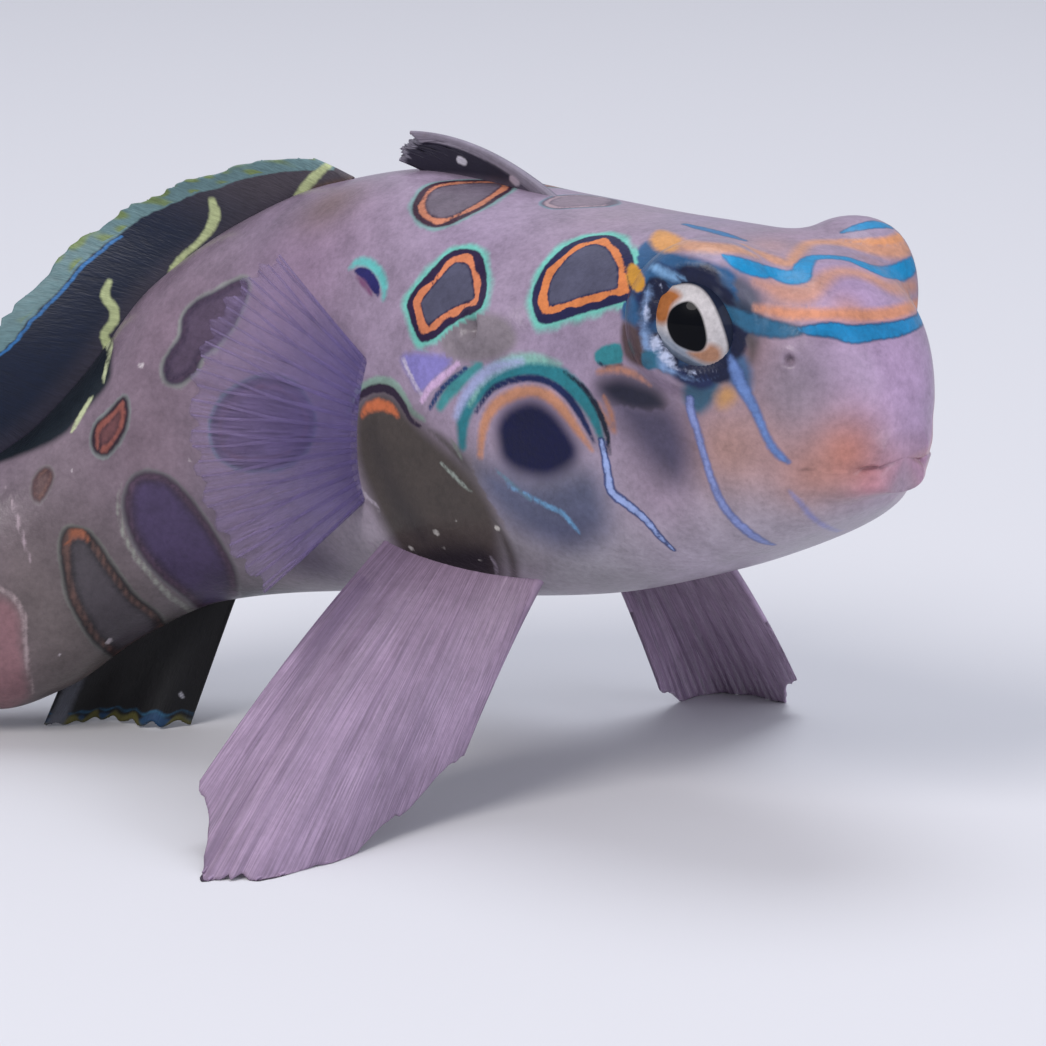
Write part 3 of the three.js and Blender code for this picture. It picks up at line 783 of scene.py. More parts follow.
def pelvic(hand, tips):
    def ray(u):
        behind = mix(12.7, 18.9, u)
        root = place(behind, mix(4.1, 5.3, u) * hand, mix(belly_at(behind) + 1, 8.4, u))
        reach = through_points(tips, u) - root
        reach[..., 2] = np.maximum(reach[..., 2], 0.1 - root[..., 2])
        curl = np.zeros_like(reach) + np.array([0, 0, -0.12])
        length = np.linalg.norm(reach, axis=-1)
        return root, unit(reach - curl * length[..., None]), length, curl
    return ray


class Fin:
    """A fin's middle surface, as a function of u across the rays and v along them."""

    def __init__(self, ray, rays, sink=0.8, scallop=0.05, ragged=0.0, seed=1):
        self.ray, self.rays, self.sink, self.scallop, self.ragged = ray, rays, sink, scallop, ragged
        self.rough = np.random.default_rng(seed).random(rays * 8 + 9)

    def at(self, u, v):
        u, v = as_arrays(u, v)
        root, direction, length, curl = self.ray(np.clip(u, 0, 1))
        length = np.broadcast_to(length, u.shape)
        valley = 0.5 - 0.5 * np.cos(u * (self.rays - 1) * 2 * math.pi)
        place_on = np.clip(u, 0, 1) * (len(self.rough) - 2)
        low = place_on.astype(int)
        rough = mix(self.rough[low], self.rough[low + 1], place_on - low)
        ahead = np.maximum(v, 0) ** 2
        reach = length * (1 - (self.scallop * valley + self.ragged * rough) * ahead)
        return root + direction * (reach * v)[..., None] + curl * (length * ahead)[..., None]

    def normal(self, u, v, small=0.004):
        across = self.at(np.minimum(u + small, 1), v) - self.at(np.maximum(u - small, 0), v)
        outward = self.at(u, v + small) - self.at(u, v - small)
        return unit(np.cross(across, outward))

    def root_v(self, u):
        """The v at which the fin starts, under the skin."""
        return -self.sink / np.broadcast_to(self.ray(u)[2], np.shape(u))


def sheet_faces(columns, rows):
    """Faces of a sheet's front, of its back and of the rim between them."""
    size = columns * rows
    faces = []
    for column in range(columns - 1):
        for row in range(rows - 1):
            a = column * rows + row
            face = (a, a + rows, a + rows + 1, a + 1)
            faces += [face, tuple(corner + size for corner in reversed(face))]
    foot, head = np.arange(columns) * rows, np.arange(columns) * rows + rows - 1
    rim = [*foot[::-1], *range(rows), *head, *range(size - 1, size - rows - 1, -1)]
    faces += [(int(a), int(b), int(b) + size, int(a) + size) for a, b in zip(rim, rim[1:]) if a != b]
    return faces


def make_membrane(name, fin, finish, thick, thin, columns, rows, paint):
    """Sheet of a fin, tapered from root to edge, and its painted fields for the rays."""
    u = np.linspace(0, 1, columns)[:, None] * np.ones((1, rows))
    v = mix(fin.root_v(u), 1, np.linspace(0, 1, rows)[None, :])
    middle, normal = fin.at(u, v), fin.normal(u, v)
    half = normal * (mix(thick, thin, np.clip(v, 0, 1)) / 2)[..., None]
    points = np.concatenate([(middle + half).reshape(-1, 3), (middle - half).reshape(-1, 3)])
    points[:, 2] = np.maximum(points[:, 2], 0.02)
    faces = sheet_faces(columns, rows)
    piece = new_piece(name, points, faces, finish)
    canvas = Canvas(middle, normal, [face for face in faces if max(face) < columns * rows])
    base = paint(canvas, u, v, (1 - v) * np.broadcast_to(fin.ray(u)[2], v.shape))
    sheets = {"base_tint": base, **canvas.sheets(columns, rows)}
    for key, sheet in {**sheets, "fin_u": u, "fin_v": v}.items():
        keep(piece, key, np.tile(sheet.reshape(columns * rows, -1), (2, 1)))
    return piece, sheets


RAY_STEPS = 36
RAY_START = -0.06  # v at which the rays start, under the skin
RAY_MARGIN = 0.002  # u that the outer rays keep from the fin's two ends


def ray_paths(fin, forks):
    """Paths of the rays in (u, v), each forking at the given shares of its length."""
    paths = []
    gap = 1 / (fin.rays - 1)
    for number in range(fin.rays):
        branches = [[(number * gap, RAY_START), (number * gap, 0.0)]]
        start = 0.0
        spread = gap / 4
        for level, stop in enumerate((*forks, 1.0)):
            steps = np.linspace(start, stop, max(4, round(RAY_STEPS * (stop - start))))[1:]
            grown = []
            for branch in branches:
                for side in (-1, 1) if level else (0,):
                    path = branch[-1:] if side > 0 else list(branch)
                    for v in steps:
                        share = (v - start) / (stop - start)
                        path.append((branch[-1][0] + side * spread * min(1, share * 1.6) ** 0.8, v))
                    grown.append(path)
            branches = grown
            if level:
                spread /= 2.1
            start = stop
        paths += branches
    return [np.array([(min(max(u, RAY_MARGIN), 1 - RAY_MARGIN), v) for u, v in path]) for path in paths]


def ray_tree(finish):
    """Geometry nodes that turn paths along a fin into tapered rods."""
    tree = bpy.data.node_groups.new("fin_rays", "GeometryNodeTree")
    tree.interface.new_socket("Geometry", in_out="INPUT", socket_type="NodeSocketGeometry")
    size = tree.interface.new_socket("Ray size", in_out="INPUT", socket_type="NodeSocketFloat")
    sides = tree.interface.new_socket("Ray sides", in_out="INPUT", socket_type="NodeSocketInt")
    tree.interface.new_socket("Geometry", in_out="OUTPUT", socket_type="NodeSocketGeometry")
    source, end, paths, taper, scaled, section, rods, shade, real, paint = (tree.nodes.new(kind) for kind in (
        "NodeGroupInput", "NodeGroupOutput", "GeometryNodeMeshToCurve", "GeometryNodeInputNamedAttribute",
        "ShaderNodeMath", "GeometryNodeCurvePrimitiveCircle", "GeometryNodeCurveToMesh",
        "GeometryNodeSetShadeSmooth", "GeometryNodeRealizeInstances", "GeometryNodeSetMaterial"))
    taper.data_type = "FLOAT"
    taper.inputs["Name"].default_value = "ray_radius"
    scaled.operation = "MULTIPLY"
    section.inputs["Radius"].default_value = 1.0
    rods.inputs["Fill Caps"].default_value = True
    paint.inputs["Material"].default_value = finish
    for start, output, stop, socket in (
            (source, "Geometry", paths, "Mesh"), (taper, "Attribute", scaled, 0), (source, "Ray size", scaled, 1),
            (source, "Ray sides", section, "Resolution"), (paths, "Curve", rods, "Curve"),
            (section, "Curve", rods, "Profile Curve"), (scaled, 0, rods, "Scale"), (rods, "Mesh", shade, "Geometry"),
            (shade, "Geometry", real, "Geometry"), (real, "Geometry", paint, "Geometry"),
            (paint, "Geometry", end, "Geometry")):
        tree.links.new(start.outputs[output], stop.inputs[socket])
    return tree, size.identifier, sides.identifier


def make_rays(name, fin, paths, finish, sheets, root_radius, tip_radius):
    """Tapered rays on the fin's middle surface, painted like the membrane."""
    ends = np.cumsum([len(path) for path in paths])
    edges = [(i, i + 1) for i in range(ends[-1] - 1) if i + 1 not in ends]
    points = np.concatenate([fin.at(*path.T) for path in paths])
    u, v = np.concatenate(paths).T
    radii = mix(root_radius, tip_radius, np.clip(v, 0, 1) ** 0.7)
    points[:, 2] = np.maximum(points[:, 2], radii + 0.01)
    mesh = bpy.data.meshes.new(name + "_paths")
    mesh.from_pydata(((points + SHIFT) * MM).tolist(), edges, [])
    source = link(name + "_paths", mesh)
    low = fin.root_v(u)
    columns, rows = sheets["dark"].shape[:2]
    spot = u * (columns - 1), (v - low) / (1 - low) * (rows - 1)
    for key, values in (("ray_radius", radii * MM), ("fin_u", u), ("fin_v", v)):
        keep(source, key, values)
    for key, sheet in sheets.items():
        keep(source, key, read_grid(sheet, *spot))
    tree, size_key, sides_key = ray_tree(finish)
    modifier = source.modifiers.new("rays", "NODES")
    modifier.node_group = tree
    modifier[size_key] = 1.0
    modifier[sides_key] = 6
    dressed = source.evaluated_get(bpy.context.evaluated_depsgraph_get())
    piece = link(name, bpy.data.meshes.new_from_object(dressed))
    source.modifiers.clear()
    bpy.data.objects.remove(source)
    return piece


def make_fin(name, node, slot, finishes, paint, fin, thick, points, ray_radius, forks=()):
    """Membrane and rays; thickness and ray radius run from root to tip, points go across and along."""
    membrane, sheets = make_membrane(name + "_membrane", fin, finishes[0], *thick, *points, paint)
    rays = make_rays(name + "_rays", fin, ray_paths(fin, forks), finishes[1], sheets, *ray_radius)
    for piece in (membrane, rays):
        settle(piece, slot, node)


# Finishes made of the painted layers. Each mark's edge is a share of its signed distance, roughened by grain.
FINE_GRAIN = 4600
BROAD_GRAIN = 900
EYE_GRAIN = 4200


def layered(finish, ragged, mottle):
    where = finish.node("TexCoord").outputs["Object"]
    fine = finish.noise(FINE_GRAIN, 2, 0.65, where)
    broad = finish.noise(BROAD_GRAIN, 1, 0.55, where)
    wobble = finish.ranged(fine, 0.2, 0.8, -ragged, ragged)
    shade = finish.ranged(finish.sum(fine, broad), 0.6, 1.4, 1 - mottle, 1 + mottle)
    colour = finish.attribute("base_tint", "Color")
    for layer in LAYERS:
        grain = finish.sum(wobble, finish.attribute(layer + "_tint", "Alpha"), "MULTIPLY")
        near = finish.sum(finish.attribute(layer), grain)
        share = finish.ranged(near, -1, 1, 0, 1, interpolation_type="SMOOTHSTEP")
        colour = finish.blend(share, colour, finish.attribute(layer + "_tint", "Color"))
    grey = finish.node("CombineColor", {0: shade, 1: shade, 2: shade}).outputs[0]
    return finish.blend(1.0, colour, grey, "MULTIPLY"), fine, broad


def skin_finish():
    finish = Finish("moist_skin")
    colour, fine, broad = layered(finish, 1.0, 0.24)
    finish.set(Base_Color=colour, Roughness=finish.ranged(broad, 0.3, 0.7, 0.28, 0.46),
               Coat_Weight=0.12, Coat_Roughness=0.2, Specular_IOR_Level=0.22)
    finish.bump(fine, 0.35, 0.00006)
    return finish.material


def eye_finish():
    finish = Finish("eyeball")
    where = finish.node("TexCoord").outputs["Object"]
    streaks = finish.noise(EYE_GRAIN, 3, 0.7, where)
    # the ball's dark blue-grey outside the painted iris is painted shade
    colour = linear((30, 38, 60))
    for layer in ("halo", "dark", "warm", "core"):
        share = finish.ranged(finish.attribute(layer), -1, 1, 0, 1)
        colour = finish.blend(share, colour, finish.attribute(layer + "_tint", "Color"))
    finish.set(Base_Color=finish.blend(1.0, colour, finish.shading(streaks, 0.72), "MULTIPLY"), Roughness=0.4,
               Specular_IOR_Level=0.04, Coat_Weight=0.22, Coat_Roughness=0.02, Coat_IOR=1.34)
    finish.bump(streaks, 0.12, 0.00004)
    return finish.material


def fin_finish(name, clear_root, clear_edge, streak=0.3):
    """Streaked along the rays, and as solid at the root and the edge as the two shares say."""
    finish = Finish(name)
    colour, _, _ = layered(finish, 0.8, 0.14)
    across = finish.node("CombineXYZ", {0: finish.attribute("fin_u"), 1: finish.attribute("fin_v")}).outputs[0]
    stretched = finish.node("Mapping", {"Vector": across, "Scale": (150, 5, 1)}).outputs[0]
    fibres = finish.noise(1.0, 2, 0.65, stretched)
    finish.set(Base_Color=finish.blend(1.0, colour, finish.shading(fibres, 1 - streak), "MULTIPLY"),
               Roughness=0.45, Specular_IOR_Level=0.3)
    if clear_edge < 1:
        clear = finish.ranged(finish.attribute("fin_v"), 0, 1, clear_root, clear_edge)
        finish.set(Alpha=finish.sum(clear, finish.ranged(fibres, 0.3, 0.7, -0.12, 0.12)))
    finish.bump(fibres, 0.4, 0.00006)
    return finish.material


# Paint of the skin, on its right side. Where marks of one layer meet, the first one laid keeps its tint.
def paint_flank(ring, fill, stroke):
    # ringed targets
    ring([(537, 320), (532, 303), (534, 288), (541, 272), (552, 258), (566, 246), (584, 238), (603, 235), (618, 238),
        (629, 248), (634, 262), (633, 282), (628, 299), (606, 307), (584, 313), (562, 320), (546, 324)],
        (0.34, 0.3, 0.26, 0.05), ((120, 205, 190), (30, 30, 74), (224, 134, 78), (84, 84, 106)))
    ring([(407, 303), (413, 291), (424, 278), (434, 267), (444, 257), (455, 250), (468, 249), (479, 252), (485, 264),
        (487, 282), (485, 299), (478, 311), (462, 318), (446, 329), (432, 340), (420, 341), (413, 328), (409, 315)],
        (0.3, 0.28, 0.24, 0.05), ((120, 205, 190), (42, 24, 62), (222, 134, 92), (84, 84, 106)))
    ring([(415, 199), (412, 210), (417, 220), (430, 227), (446, 226), (462, 219), (482, 209), (500, 198), (514, 187),
        (500, 181), (470, 180), (440, 182), (424, 188)], (0.2, 0.2, 0.22, 0.06), ((130, 165, 165), (58, 26, 48),
        (205, 130, 98), (110, 98, 112)), 0.05)
    ring([(541, 204), (551, 197), (575, 192), (610, 189), (645, 193), (674, 200), (650, 204), (615, 206), (575, 208),
        (555, 209)], (0.12, 0.1, 0.16, 0.05), ((120, 150, 165), (100, 84, 104), (176, 150, 158), (142, 124, 138)),
        0.06)
    stroke("halo", [(350, 268), (358, 262), (368, 263), (378, 271), (384, 284), (384, 299)], (2, 4.4, 5, 5, 4.4, 2),
        (104, 196, 192), 0.12)
    fill("dark", [(354, 271), (364, 267), (373, 273), (379, 284), (379, 297), (371, 290), (362, 279)], (36, 34, 100),
        0.05)
    stroke("core", [(356, 276), (364, 284), (372, 295)], (1, 3.4, 1.4), (124, 78, 116), 0.08)


def paint_gill_cover(fill, stroke):
    # lobes and bands before and above it
    fill("halo", [(402, 356), (430, 354), (452, 360), (436, 378), (420, 392), (410, 378)], (140, 132, 200), 0.16)
    stroke("warm", [(458, 364), (441, 378), (429, 389), (422, 402)], (2.6, 4, 2.6), (214, 180, 218), 0.07)
    stroke("line", [(466, 368), (450, 381), (438, 394), (430, 408)], (2.2, 3, 2.4), (36, 60, 108), 0.06)
    stroke("halo", [(480, 366), (462, 379), (449, 392), (440, 406)], (5, 8, 5), (66, 146, 150), 0.12)
    stroke("core", [(522, 361), (497, 367), (479, 379), (465, 396), (456, 416)], (2.5, 5, 6, 5, 3), (168, 176, 218),
        0.16)
    stroke("core", [(403, 358), (408, 370), (415, 384), (421, 394)], (1.6, 1.8, 1.4), (206, 196, 214), 0.06)
    # bands and dark spot of the cover itself
    stroke("halo", [(462, 446), (464, 416), (480, 390), (504, 374), (530, 368), (554, 373), (574, 388), (591, 410),
        (602, 440)], (5, 8, 9, 8, 8, 9, 9.5, 8, 3), (40, 126, 138), 0.12)
    stroke("warm", [(470, 404), (484, 378), (508, 362), (534, 358), (560, 364)], (2, 4, 5, 4.5, 1.5), (138, 192, 178),
        0.16)
    stroke("dark", [(476, 412), (490, 391), (510, 381), (531, 378), (550, 383), (567, 396), (581, 416), (594, 442)],
        (2, 3, 3.4, 3.4, 3.6, 4, 3.8, 1.6), (18, 34, 82), 0.07)
    stroke("edge", [(564, 372), (582, 386), (596, 406), (606, 430), (610, 454)], (1, 2.6, 3.2, 3, 1.4), (20, 28, 50),
        0.06)
    stroke("warm", [(480, 456), (483, 430), (492, 409), (510, 396), (530, 391), (548, 396), (563, 410), (576, 428),
        (592, 450)], (3, 5, 6, 6, 5.4, 6, 6, 4.6, 1.5), (198, 140, 110), 0.12)
    stroke("warm", [(604, 396), (611, 414), (615, 432)], (1, 3, 1), (172, 118, 92), 0.12)
    fill("core", [(498, 444), (497, 424), (508, 408), (530, 400), (550, 408), (566, 426), (578, 448), (572, 466),
        (548, 478), (522, 474), (504, 462)], (0, 5, 58), 0.36)
    fill("dark", [(478, 470), (500, 466), (540, 482), (584, 470), (604, 492), (606, 530), (570, 548), (520, 530),
        (486, 500)], (92, 96, 122), 0.8)
    stroke("line", [(601, 440), (605, 458), (608, 475), (612, 492), (628, 505), (646, 520), (660, 537), (674, 550)],
        (1.4, 2.6, 3.2, 3.6, 3.4, 2.8, 2, 0.8), (160, 180, 232), 0.05, rim=2, rim_tint=(36, 56, 112))
    stroke("line", [(508, 486), (533, 498), (547, 506), (562, 513), (572, 524), (580, 534)],
        (0.8, 1.8, 2.2, 2.4, 2.2, 0.8), (112, 166, 208), 0.08)
    stroke("line", [(496, 470), (514, 486), (530, 500)], (0.8, 1.6, 0.8), (96, 132, 150), 0.08)


def paint_face(fill, stroke):
    # cheek lines
    stroke("line", [(731, 358), (736, 372), (743, 388), (752, 404), (760, 422), (768, 440), (777, 453), (788, 462)],
        (2, 5, 5, 3.6, 2.8, 2.6, 2.8, 1.2), (108, 138, 196), 0.1, rim=1.2, rim_tint=(62, 84, 134))
    stroke("line", [(690, 398), (691, 412), (697, 430), (703, 452), (710, 474), (720, 500), (733, 518), (748, 532),
        (762, 541), (774, 545)], (2.6, 3.4, 2.8, 2.4, 2.6, 3, 3.4, 4.2, 3.6, 1), (142, 156, 212), 0.08, rim=1.1,
        rim_tint=(62, 80, 138))
    stroke("line", [(789, 491), (800, 503), (812, 517), (827, 527), (846, 534)], (0.8, 2, 2.4, 2.4, 1),
        (146, 146, 196), 0.12)
    # forehead stripes
    stroke("warm", [(742, 244), (758, 252), (776, 260), (790, 263), (797, 254), (810, 243), (840, 243), (870, 249),
        (900, 250), (914, 242)], (3, 8, 9, 7, 6, 6, 7, 8, 9, 6), (208, 152, 124), 0.2)
    stroke("warm", [(756, 282), (785, 292), (806, 293), (820, 282), (834, 273), (852, 272), (872, 278), (892, 288),
        (914, 286)], (4, 10, 11, 9, 7, 7, 8, 9, 6), (200, 148, 132), 0.26)
    stroke("line", [(724, 256), (741, 264), (757, 269), (772, 272), (788, 277), (800, 275), (804, 266), (812, 258),
        (830, 257), (848, 259), (864, 265), (880, 271), (896, 273), (908, 268), (918, 260)], (2, 9, 9, 7, 9, 10, 8, 5,
        4, 4.4, 6, 8.5, 9, 8, 5), (14, 142, 196), 0.08, rim=1.2, rim_tint=(44, 96, 140))
    stroke("warm", [(756, 308), (785, 313), (815, 314), (845, 314), (870, 315), (898, 312), (922, 302)],
        (3, 6, 6, 6, 7, 7, 5), (214, 146, 114), 0.16)
    stroke("line", [(716, 304), (734, 315), (757, 325), (780, 330), (800, 331)], (2, 7, 8, 7, 3), (46, 104, 138), 0.1,
        rim=1.4, rim_tint=(42, 58, 84))
    stroke("line", [(800, 330), (814, 330), (832, 330), (852, 334), (874, 332), (896, 329), (914, 323), (928, 314)],
        (2, 5, 7, 8.5, 7.5, 7, 5.5, 4), (24, 134, 188), 0.06, rim=1.6, rim_tint=(40, 74, 112))
    stroke("dark", [(698, 296), (722, 300), (744, 311), (760, 322)], (3, 8, 7, 3), (48, 62, 84), 0.2)
    stroke("dark", [(742, 330), (752, 344), (752, 360)], (2, 5, 1), (96, 84, 84), 0.25)
    # over the eyes
    stroke("warm", [(664, 240), (690, 245), (714, 247), (738, 249), (756, 256)], (9, 10, 10, 9, 4), (212, 158, 128),
        0.2)
    fill("warm", [(650, 240), (658, 230), (672, 233), (684, 241), (674, 252), (657, 250)], (220, 158, 92), 0.16)
    stroke("line", [(684, 224), (700, 228), (720, 233), (746, 241)], (2, 4.4, 4.4, 1), (30, 116, 172), 0.06, rim=1.4,
        rim_tint=(60, 84, 120))
    stroke("warm", [(840, 240), (868, 242), (890, 241), (904, 235), (903, 226)], (2, 5, 6, 6, 3), (220, 152, 106),
        0.13)
    stroke("line", [(842, 232), (860, 227), (878, 224), (894, 227)], (1.5, 5, 7, 3), (26, 136, 188), 0.06, rim=1.4,
        rim_tint=(40, 84, 124))


def paint_round_eye(fill, stroke):
    # blue folds, and a painted highlight on the upper lid
    fill("halo", [(634, 262), (640, 246), (654, 240), (672, 252), (694, 258), (714, 264), (734, 272), (744, 296),
        (742, 330), (733, 356), (716, 378), (700, 390), (680, 376), (660, 366), (646, 352), (636, 332), (622, 318),
        (622, 298), (632, 284)], (46, 92, 136), 0.14)
    fill("halo", [(716, 270), (740, 276), (758, 292), (762, 318), (752, 346), (734, 340), (728, 306)], (92, 92, 108),
        0.3)
    fill("dark", [(623, 322), (640, 330), (654, 350), (648, 366), (630, 362), (622, 346)], (86, 66, 68), 0.15)
    stroke("dark", [(655, 262), (672, 272), (690, 278), (712, 282)], (1.5, 4, 4, 3), (32, 48, 88), 0.09)
    stroke("dark", [(630, 290), (640, 300), (644, 318), (650, 338), (664, 358), (684, 378), (706, 384)],
        (2, 4, 4, 5, 6, 6, 3), (26, 38, 80), 0.12)
    fill("dark", [(704, 272), (722, 280), (732, 300), (738, 326), (734, 350), (724, 336), (716, 306), (706, 286)],
        (54, 58, 78), 0.2)
    # painted highlight: pale blue streak along the top of the upper lid, above the iris
    stroke("core", [(652, 266), (668, 275), (684, 280)], (3, 5, 2), (122, 166, 208), 0.12)
    fill("warm", [(629, 264), (637, 266), (645, 280), (641, 292), (632, 288), (627, 276)], (206, 148, 52), 0.07)
    fill("halo", [(686, 382), (704, 376), (720, 382), (714, 400), (698, 414), (684, 400)], (64, 104, 130), 0.2)
    fill("halo", [(722, 356), (742, 352), (752, 372), (750, 392), (738, 394), (726, 378)], (74, 104, 142), 0.2)
    fill("dark", [(688, 372), (712, 372), (716, 384), (702, 390), (690, 386)], (30, 42, 82), 0.16)
    fill("core", [(643, 352), (656, 350), (660, 362), (650, 370), (642, 364)], (48, 112, 140), 0.08)
    fill("warm", [(716, 396), (726, 386), (736, 392), (734, 402), (720, 408)], (196, 148, 100), 0.25)
    fill("halo", [(595, 353), (604, 346), (620, 344), (622, 362), (606, 366), (596, 362)], (54, 140, 150), 0.07)
    stroke("dark", [(597, 362), (610, 368), (622, 364)], (1, 2, 1), (34, 52, 78), 0.05)


def paint_lids(canvas):
    """Dark, blue and pale bands along the lids, wider and narrower round the eye."""
    for hand in (1, -1):
        out, _, lean, edge = around_eye(canvas.points, hand)
        close = np.flatnonzero(np.linalg.norm(out, axis=1) < 3)
        lean, edge = lean[close], edge[close]
        lift = 0.08 * np.sin(lean * 5 + 1) + 0.05 * np.sin(lean * 11)
        low = np.cos(lean + 2.7)
        for layer, half, at, soft, tint in (
                ("dark", 0.2 + lift, 0.1, 0.08, (16, 24, 56)),
                ("core", 0.2 * low + 0.4 * lift - 0.08, 0.22, 0.09, (132, 162, 206)),
                ("line", 0.12 * low + 0.3 * lift - 0.04, 0.1, 0.05, (196, 206, 234))):
            canvas.put(layer, close, half - np.abs(edge - at), soft, tint)


def paint_lower_side(fill, stroke):
    # dark patches under the eye
    fill("dark", [(596, 384), (614, 374), (640, 378), (662, 392), (670, 410), (650, 418), (624, 414), (604, 402)],
        (34, 34, 54), 0.5)
    fill("dark", [(608, 398), (640, 396), (672, 404), (688, 430), (692, 462), (678, 484), (652, 468), (628, 436)],
        (80, 74, 98), 0.8)
    stroke("warm", [(598, 372), (616, 369), (636, 375), (650, 385)], (2, 3.4, 3, 1), (186, 132, 112), 0.12)
    stroke("warm", [(598, 404), (606, 420), (614, 432)], (1, 3, 1), (176, 122, 96), 0.15)
    # long mark from the base of the near side fin down to the belly
    fill("dark", [(352, 420), (356, 404), (366, 392), (380, 387), (396, 393), (410, 410), (430, 430), (455, 452),
        (480, 482), (498, 512), (504, 548), (500, 588), (480, 602), (450, 598), (424, 586), (404, 562), (384, 528),
        (366, 492), (354, 456)], (74, 66, 62), 0.55)
    stroke("core", [(372, 430), (384, 470), (404, 510), (424, 540)], (3, 9, 12, 8), (58, 52, 52), 0.7)
    for path in ([(420, 424), (440, 438), (458, 456), (472, 474)], [(436, 452), (462, 476), (486, 508), (500, 532)],
                 [(470, 490), (494, 520), (512, 560), (514, 590)]):
        stroke("dark", path, (1, 5, 6, 2), (74, 68, 66), 0.25)
    fill("core", [(408, 560), (430, 548), (462, 546), (488, 552), (498, 572), (494, 594), (470, 602), (436, 592)],
        (20, 19, 23), 0.6)
    stroke("halo", [(348, 416), (354, 398), (366, 386), (380, 381), (394, 385), (404, 398), (412, 412), (424, 420)],
        (2, 4, 5, 5, 4.5, 4, 3.4, 2), (146, 176, 164), 0.09)
    stroke("edge", [(352, 412), (359, 398), (368, 391), (380, 388), (393, 392), (403, 405), (411, 420), (421, 427)],
        (2, 3.6, 4.2, 4.4, 4.2, 3.4, 2.6, 1.6), (42, 26, 50), 0.05)
    stroke("warm", [(362, 416), (368, 408), (379, 405), (390, 408), (398, 416)], (2, 5, 6, 5, 2), (206, 112, 70), 0.1)
    for path, tint in (
            ([(441, 463), (452, 474), (462, 484), (472, 492)], (150, 160, 152)),
            ([(450, 438), (456, 448), (462, 460)], (118, 124, 118)),
            ([(349, 466), (356, 482), (368, 498), (377, 506), (380, 517)], (186, 176, 188)),
            ([(491, 556), (497, 572), (496, 600)], (140, 132, 142)),
            ([(368, 542), (376, 548), (377, 566)], (166, 150, 168))):
        stroke("line", path, (1, 2, 1.8, 0.8), tint, 0.06)
    for x, y, size in ((436, 532, 3.2), (497, 528, 2.6), (411, 548, 2.6), (444, 548, 1.4), (468, 583, 1.8),
                       (420, 560, 1.4), (480, 560, 1.6), (455, 520, 1.2), (640, 620, 1.5)):
        stroke("line", [(x - 0.6, y), (x + 0.6, y + 0.4)], size, (190, 186, 180), 0.05)
    # gill pore
    fill("halo", [(440, 340), (450, 324), (470, 314), (494, 314), (512, 326), (516, 344), (498, 358), (468, 362),
        (446, 354)], (140, 130, 138), 0.2)


